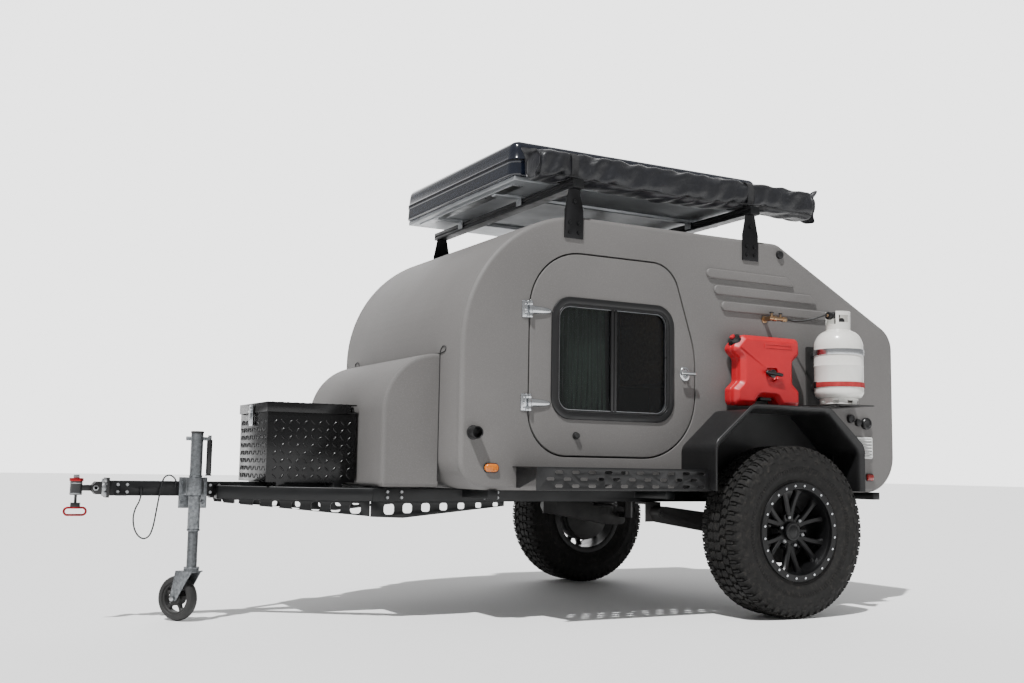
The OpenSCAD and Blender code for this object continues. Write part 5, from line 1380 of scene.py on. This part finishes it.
piece("coupler_knob", [rod([3200, 0, 630], [3200, 0, 646], 13, 12, 2),
                       rod([3200, 0, 560], [3200, 0, 566], 27, 48, 1.5),
                       rod([3200, 0, 606], [3200, 0, 611], 27, 48, 1.5)],
      zinc_plate, "coupler_receiver", "zinc")
piece("yoke_bolts", bolts([[3078, y, z] for y in (-34, 34) for z in (560, 620)], (1, 0, 0), 9, 9)
      + [rod([3066, 0, 588], [3096, 0, 588], 30.5, 40, 2)], zinc_plate, "trailer", "zinc")
piece("pitch_pin", [rod([3122, -36, 588], [3122, 36, 588], 7.9, ease=1),
      rod([3122, 28, 588], [3122, 36, 588], 13, 6, 1.5), rod([3122, -36, 588], [3122, -28, 588], 13,
        6, 1.5)], zinc_plate, "coupler_block", "zinc")

# ---------------------------------------------------------------------------
# Interior: birch plywood bulkhead, galley boards and counter, and a quilted mattress that fills the
# cabin. The hatch closes on the galley with two stainless T-latches.
# ---------------------------------------------------------------------------
# Varnished birch: pale straw, grain stretched 14 to 1 along X
birch_ply = new_material("varnished_birch_plywood", Roughness=0.4, Coat_Weight=0.25,
    Coat_Roughness=0.2)
birch_at = add(birch_ply, "ShaderNodeMapping", {"Vector": add(birch_ply,
        "ShaderNodeTexCoord").outputs["Object"], "Scale": (4, 56, 56)}).outputs[0]
birch_grain = add(birch_ply, "ShaderNodeTexNoise", {"Vector": birch_at, "Scale": 1.0, "Detail": 7,
                                                    "Distortion": 0.6}).outputs[0]
ramp(birch_ply, birch_grain, [(0.3, "#a88355"), (0.5, "#c09b6a"), (0.72, "#d0ae7e")], "Base Color")
add(birch_ply, "ShaderNodeBump", {"Height": birch_grain, "Distance": 0.0003, "Strength": 0.6},
    "Normal")
eased("bulkhead", birch_ply, 1.5)
eased("galley_shelves", birch_ply, 1.5)
# Mattress ticking: warm grey cotton, slubbed weave drawn at 3 mm
mattress_cloth = coated("grey_cotton_ticking", "#787b7e", "#8f9294", 0.85, 3.0, 0.5, 70, 0.05,
                        Sheen_Weight=0.3, Sheen_Roughness=0.5)
mattress_u = np.sin(np.linspace(-np.pi / 2, np.pi / 2, 61))
mattress_v = np.sin(np.linspace(-np.pi / 2, np.pi / 2, 49))
gu, gv = np.meshgrid(mattress_u, mattress_v, indexing="ij")
quilt = 0.5 - 0.25 * (np.cos(gu * 10 * np.pi) + np.cos(gv * 8 * np.pi))
rise = np.clip(1 - (np.abs(gu) ** 40 + np.abs(gv) ** 40), 0, 1) ** 0.35
faces = np.concatenate([grid_faces(*gu.shape), grid_faces(*gu.shape, gu.size)[:, ::-1]])
mattress = piece("quilted_mattress", [(np.stack([np.stack([578 + 944 * gu, 688 * gv, z], -1)
                                                 for z in (694 + (54 + 7 * quilt) * rise,
                                                           694 - 56 * rise)]), faces.tolist())],
                 mattress_cloth, "trailer", "mattress_cloth", "mattress", sharp=80)
latch_parts = []
for y in (-430, 430):
    latch_parts += [rod([-1016, y, 1062], [-1024, y, 1062], 31, 40, 2),
                    rod([-1024, y, 1062], [-1044, y, 1062], 9, ease=1),
                    capsule([-1046, y - 40, 1062], [-1046, y + 40, 1062], 8)]
piece("hatch_latches", latch_parts, stainless, "hatch", "stainless")

# ---------------------------------------------------------------------------
# Studio: a pale floor, a surround that is white behind the trailer and grey before it, and one
# distant lamp high ahead and to the left. None of it is part of the trailer.
# ---------------------------------------------------------------------------
world = bpy.data.worlds.new("surround")
bpy.context.scene.world = world
world.use_nodes = True
background = world.node_tree.nodes["Background"]
background.inputs["Color"].default_value = (1, 1, 1, 1)
# Brightness: 0.4 ahead and to the left, 3 on the far side, eased by how far a direction leans there
towards_wall = add(world, "ShaderNodeVectorMath", {
    0: add(world, "ShaderNodeTexCoord").outputs["Generated"], 1: (-0.477, -0.872, 0.1)},
    operation="DOT_PRODUCT").outputs["Value"]
brightness = add(world, "ShaderNodeMapRange", {"Value": towards_wall, "From Min": 0.7,
      "From Max": 0.9, "To Min": 0.4, "To Max": 3.0}, interpolation_type="SMOOTHSTEP")
world.node_tree.links.new(brightness.outputs[0], background.inputs["Strength"])
floor_mesh = bpy.data.meshes.new("studio_floor")
floor_half, floor_z = 60, -0.0005
floor_mesh.from_pydata([(floor_half * p, floor_half * q, floor_z)
                        for p, q in ((-1, -1), (1, -1), (1, 1), (-1, 1))], [], [[0, 1, 2, 3]])
floor = bpy.data.objects.new("studio_floor", floor_mesh)
bpy.context.scene.collection.objects.link(floor)
floor_mesh.materials.append(new_material("white_studio_floor", Base_Color=(0.86, 0.86, 0.86, 1),
                                         Roughness=0.9))


def lamp(name, towards, strength, angle):
    """A distant lamp whose light travels along towards and spreads over angle degrees."""
    made = bpy.data.objects.new(name, bpy.data.lights.new(name, "SUN"))
    made.data.energy, made.data.angle = strength, math.radians(angle)
    made.matrix_world = Vector(towards).to_track_quat("-Z", "Y").to_matrix().to_4x4()
    bpy.context.scene.collection.objects.link(made)


lamp("key", (-0.09, -0.07, -0.19), 6.0, 1.5)
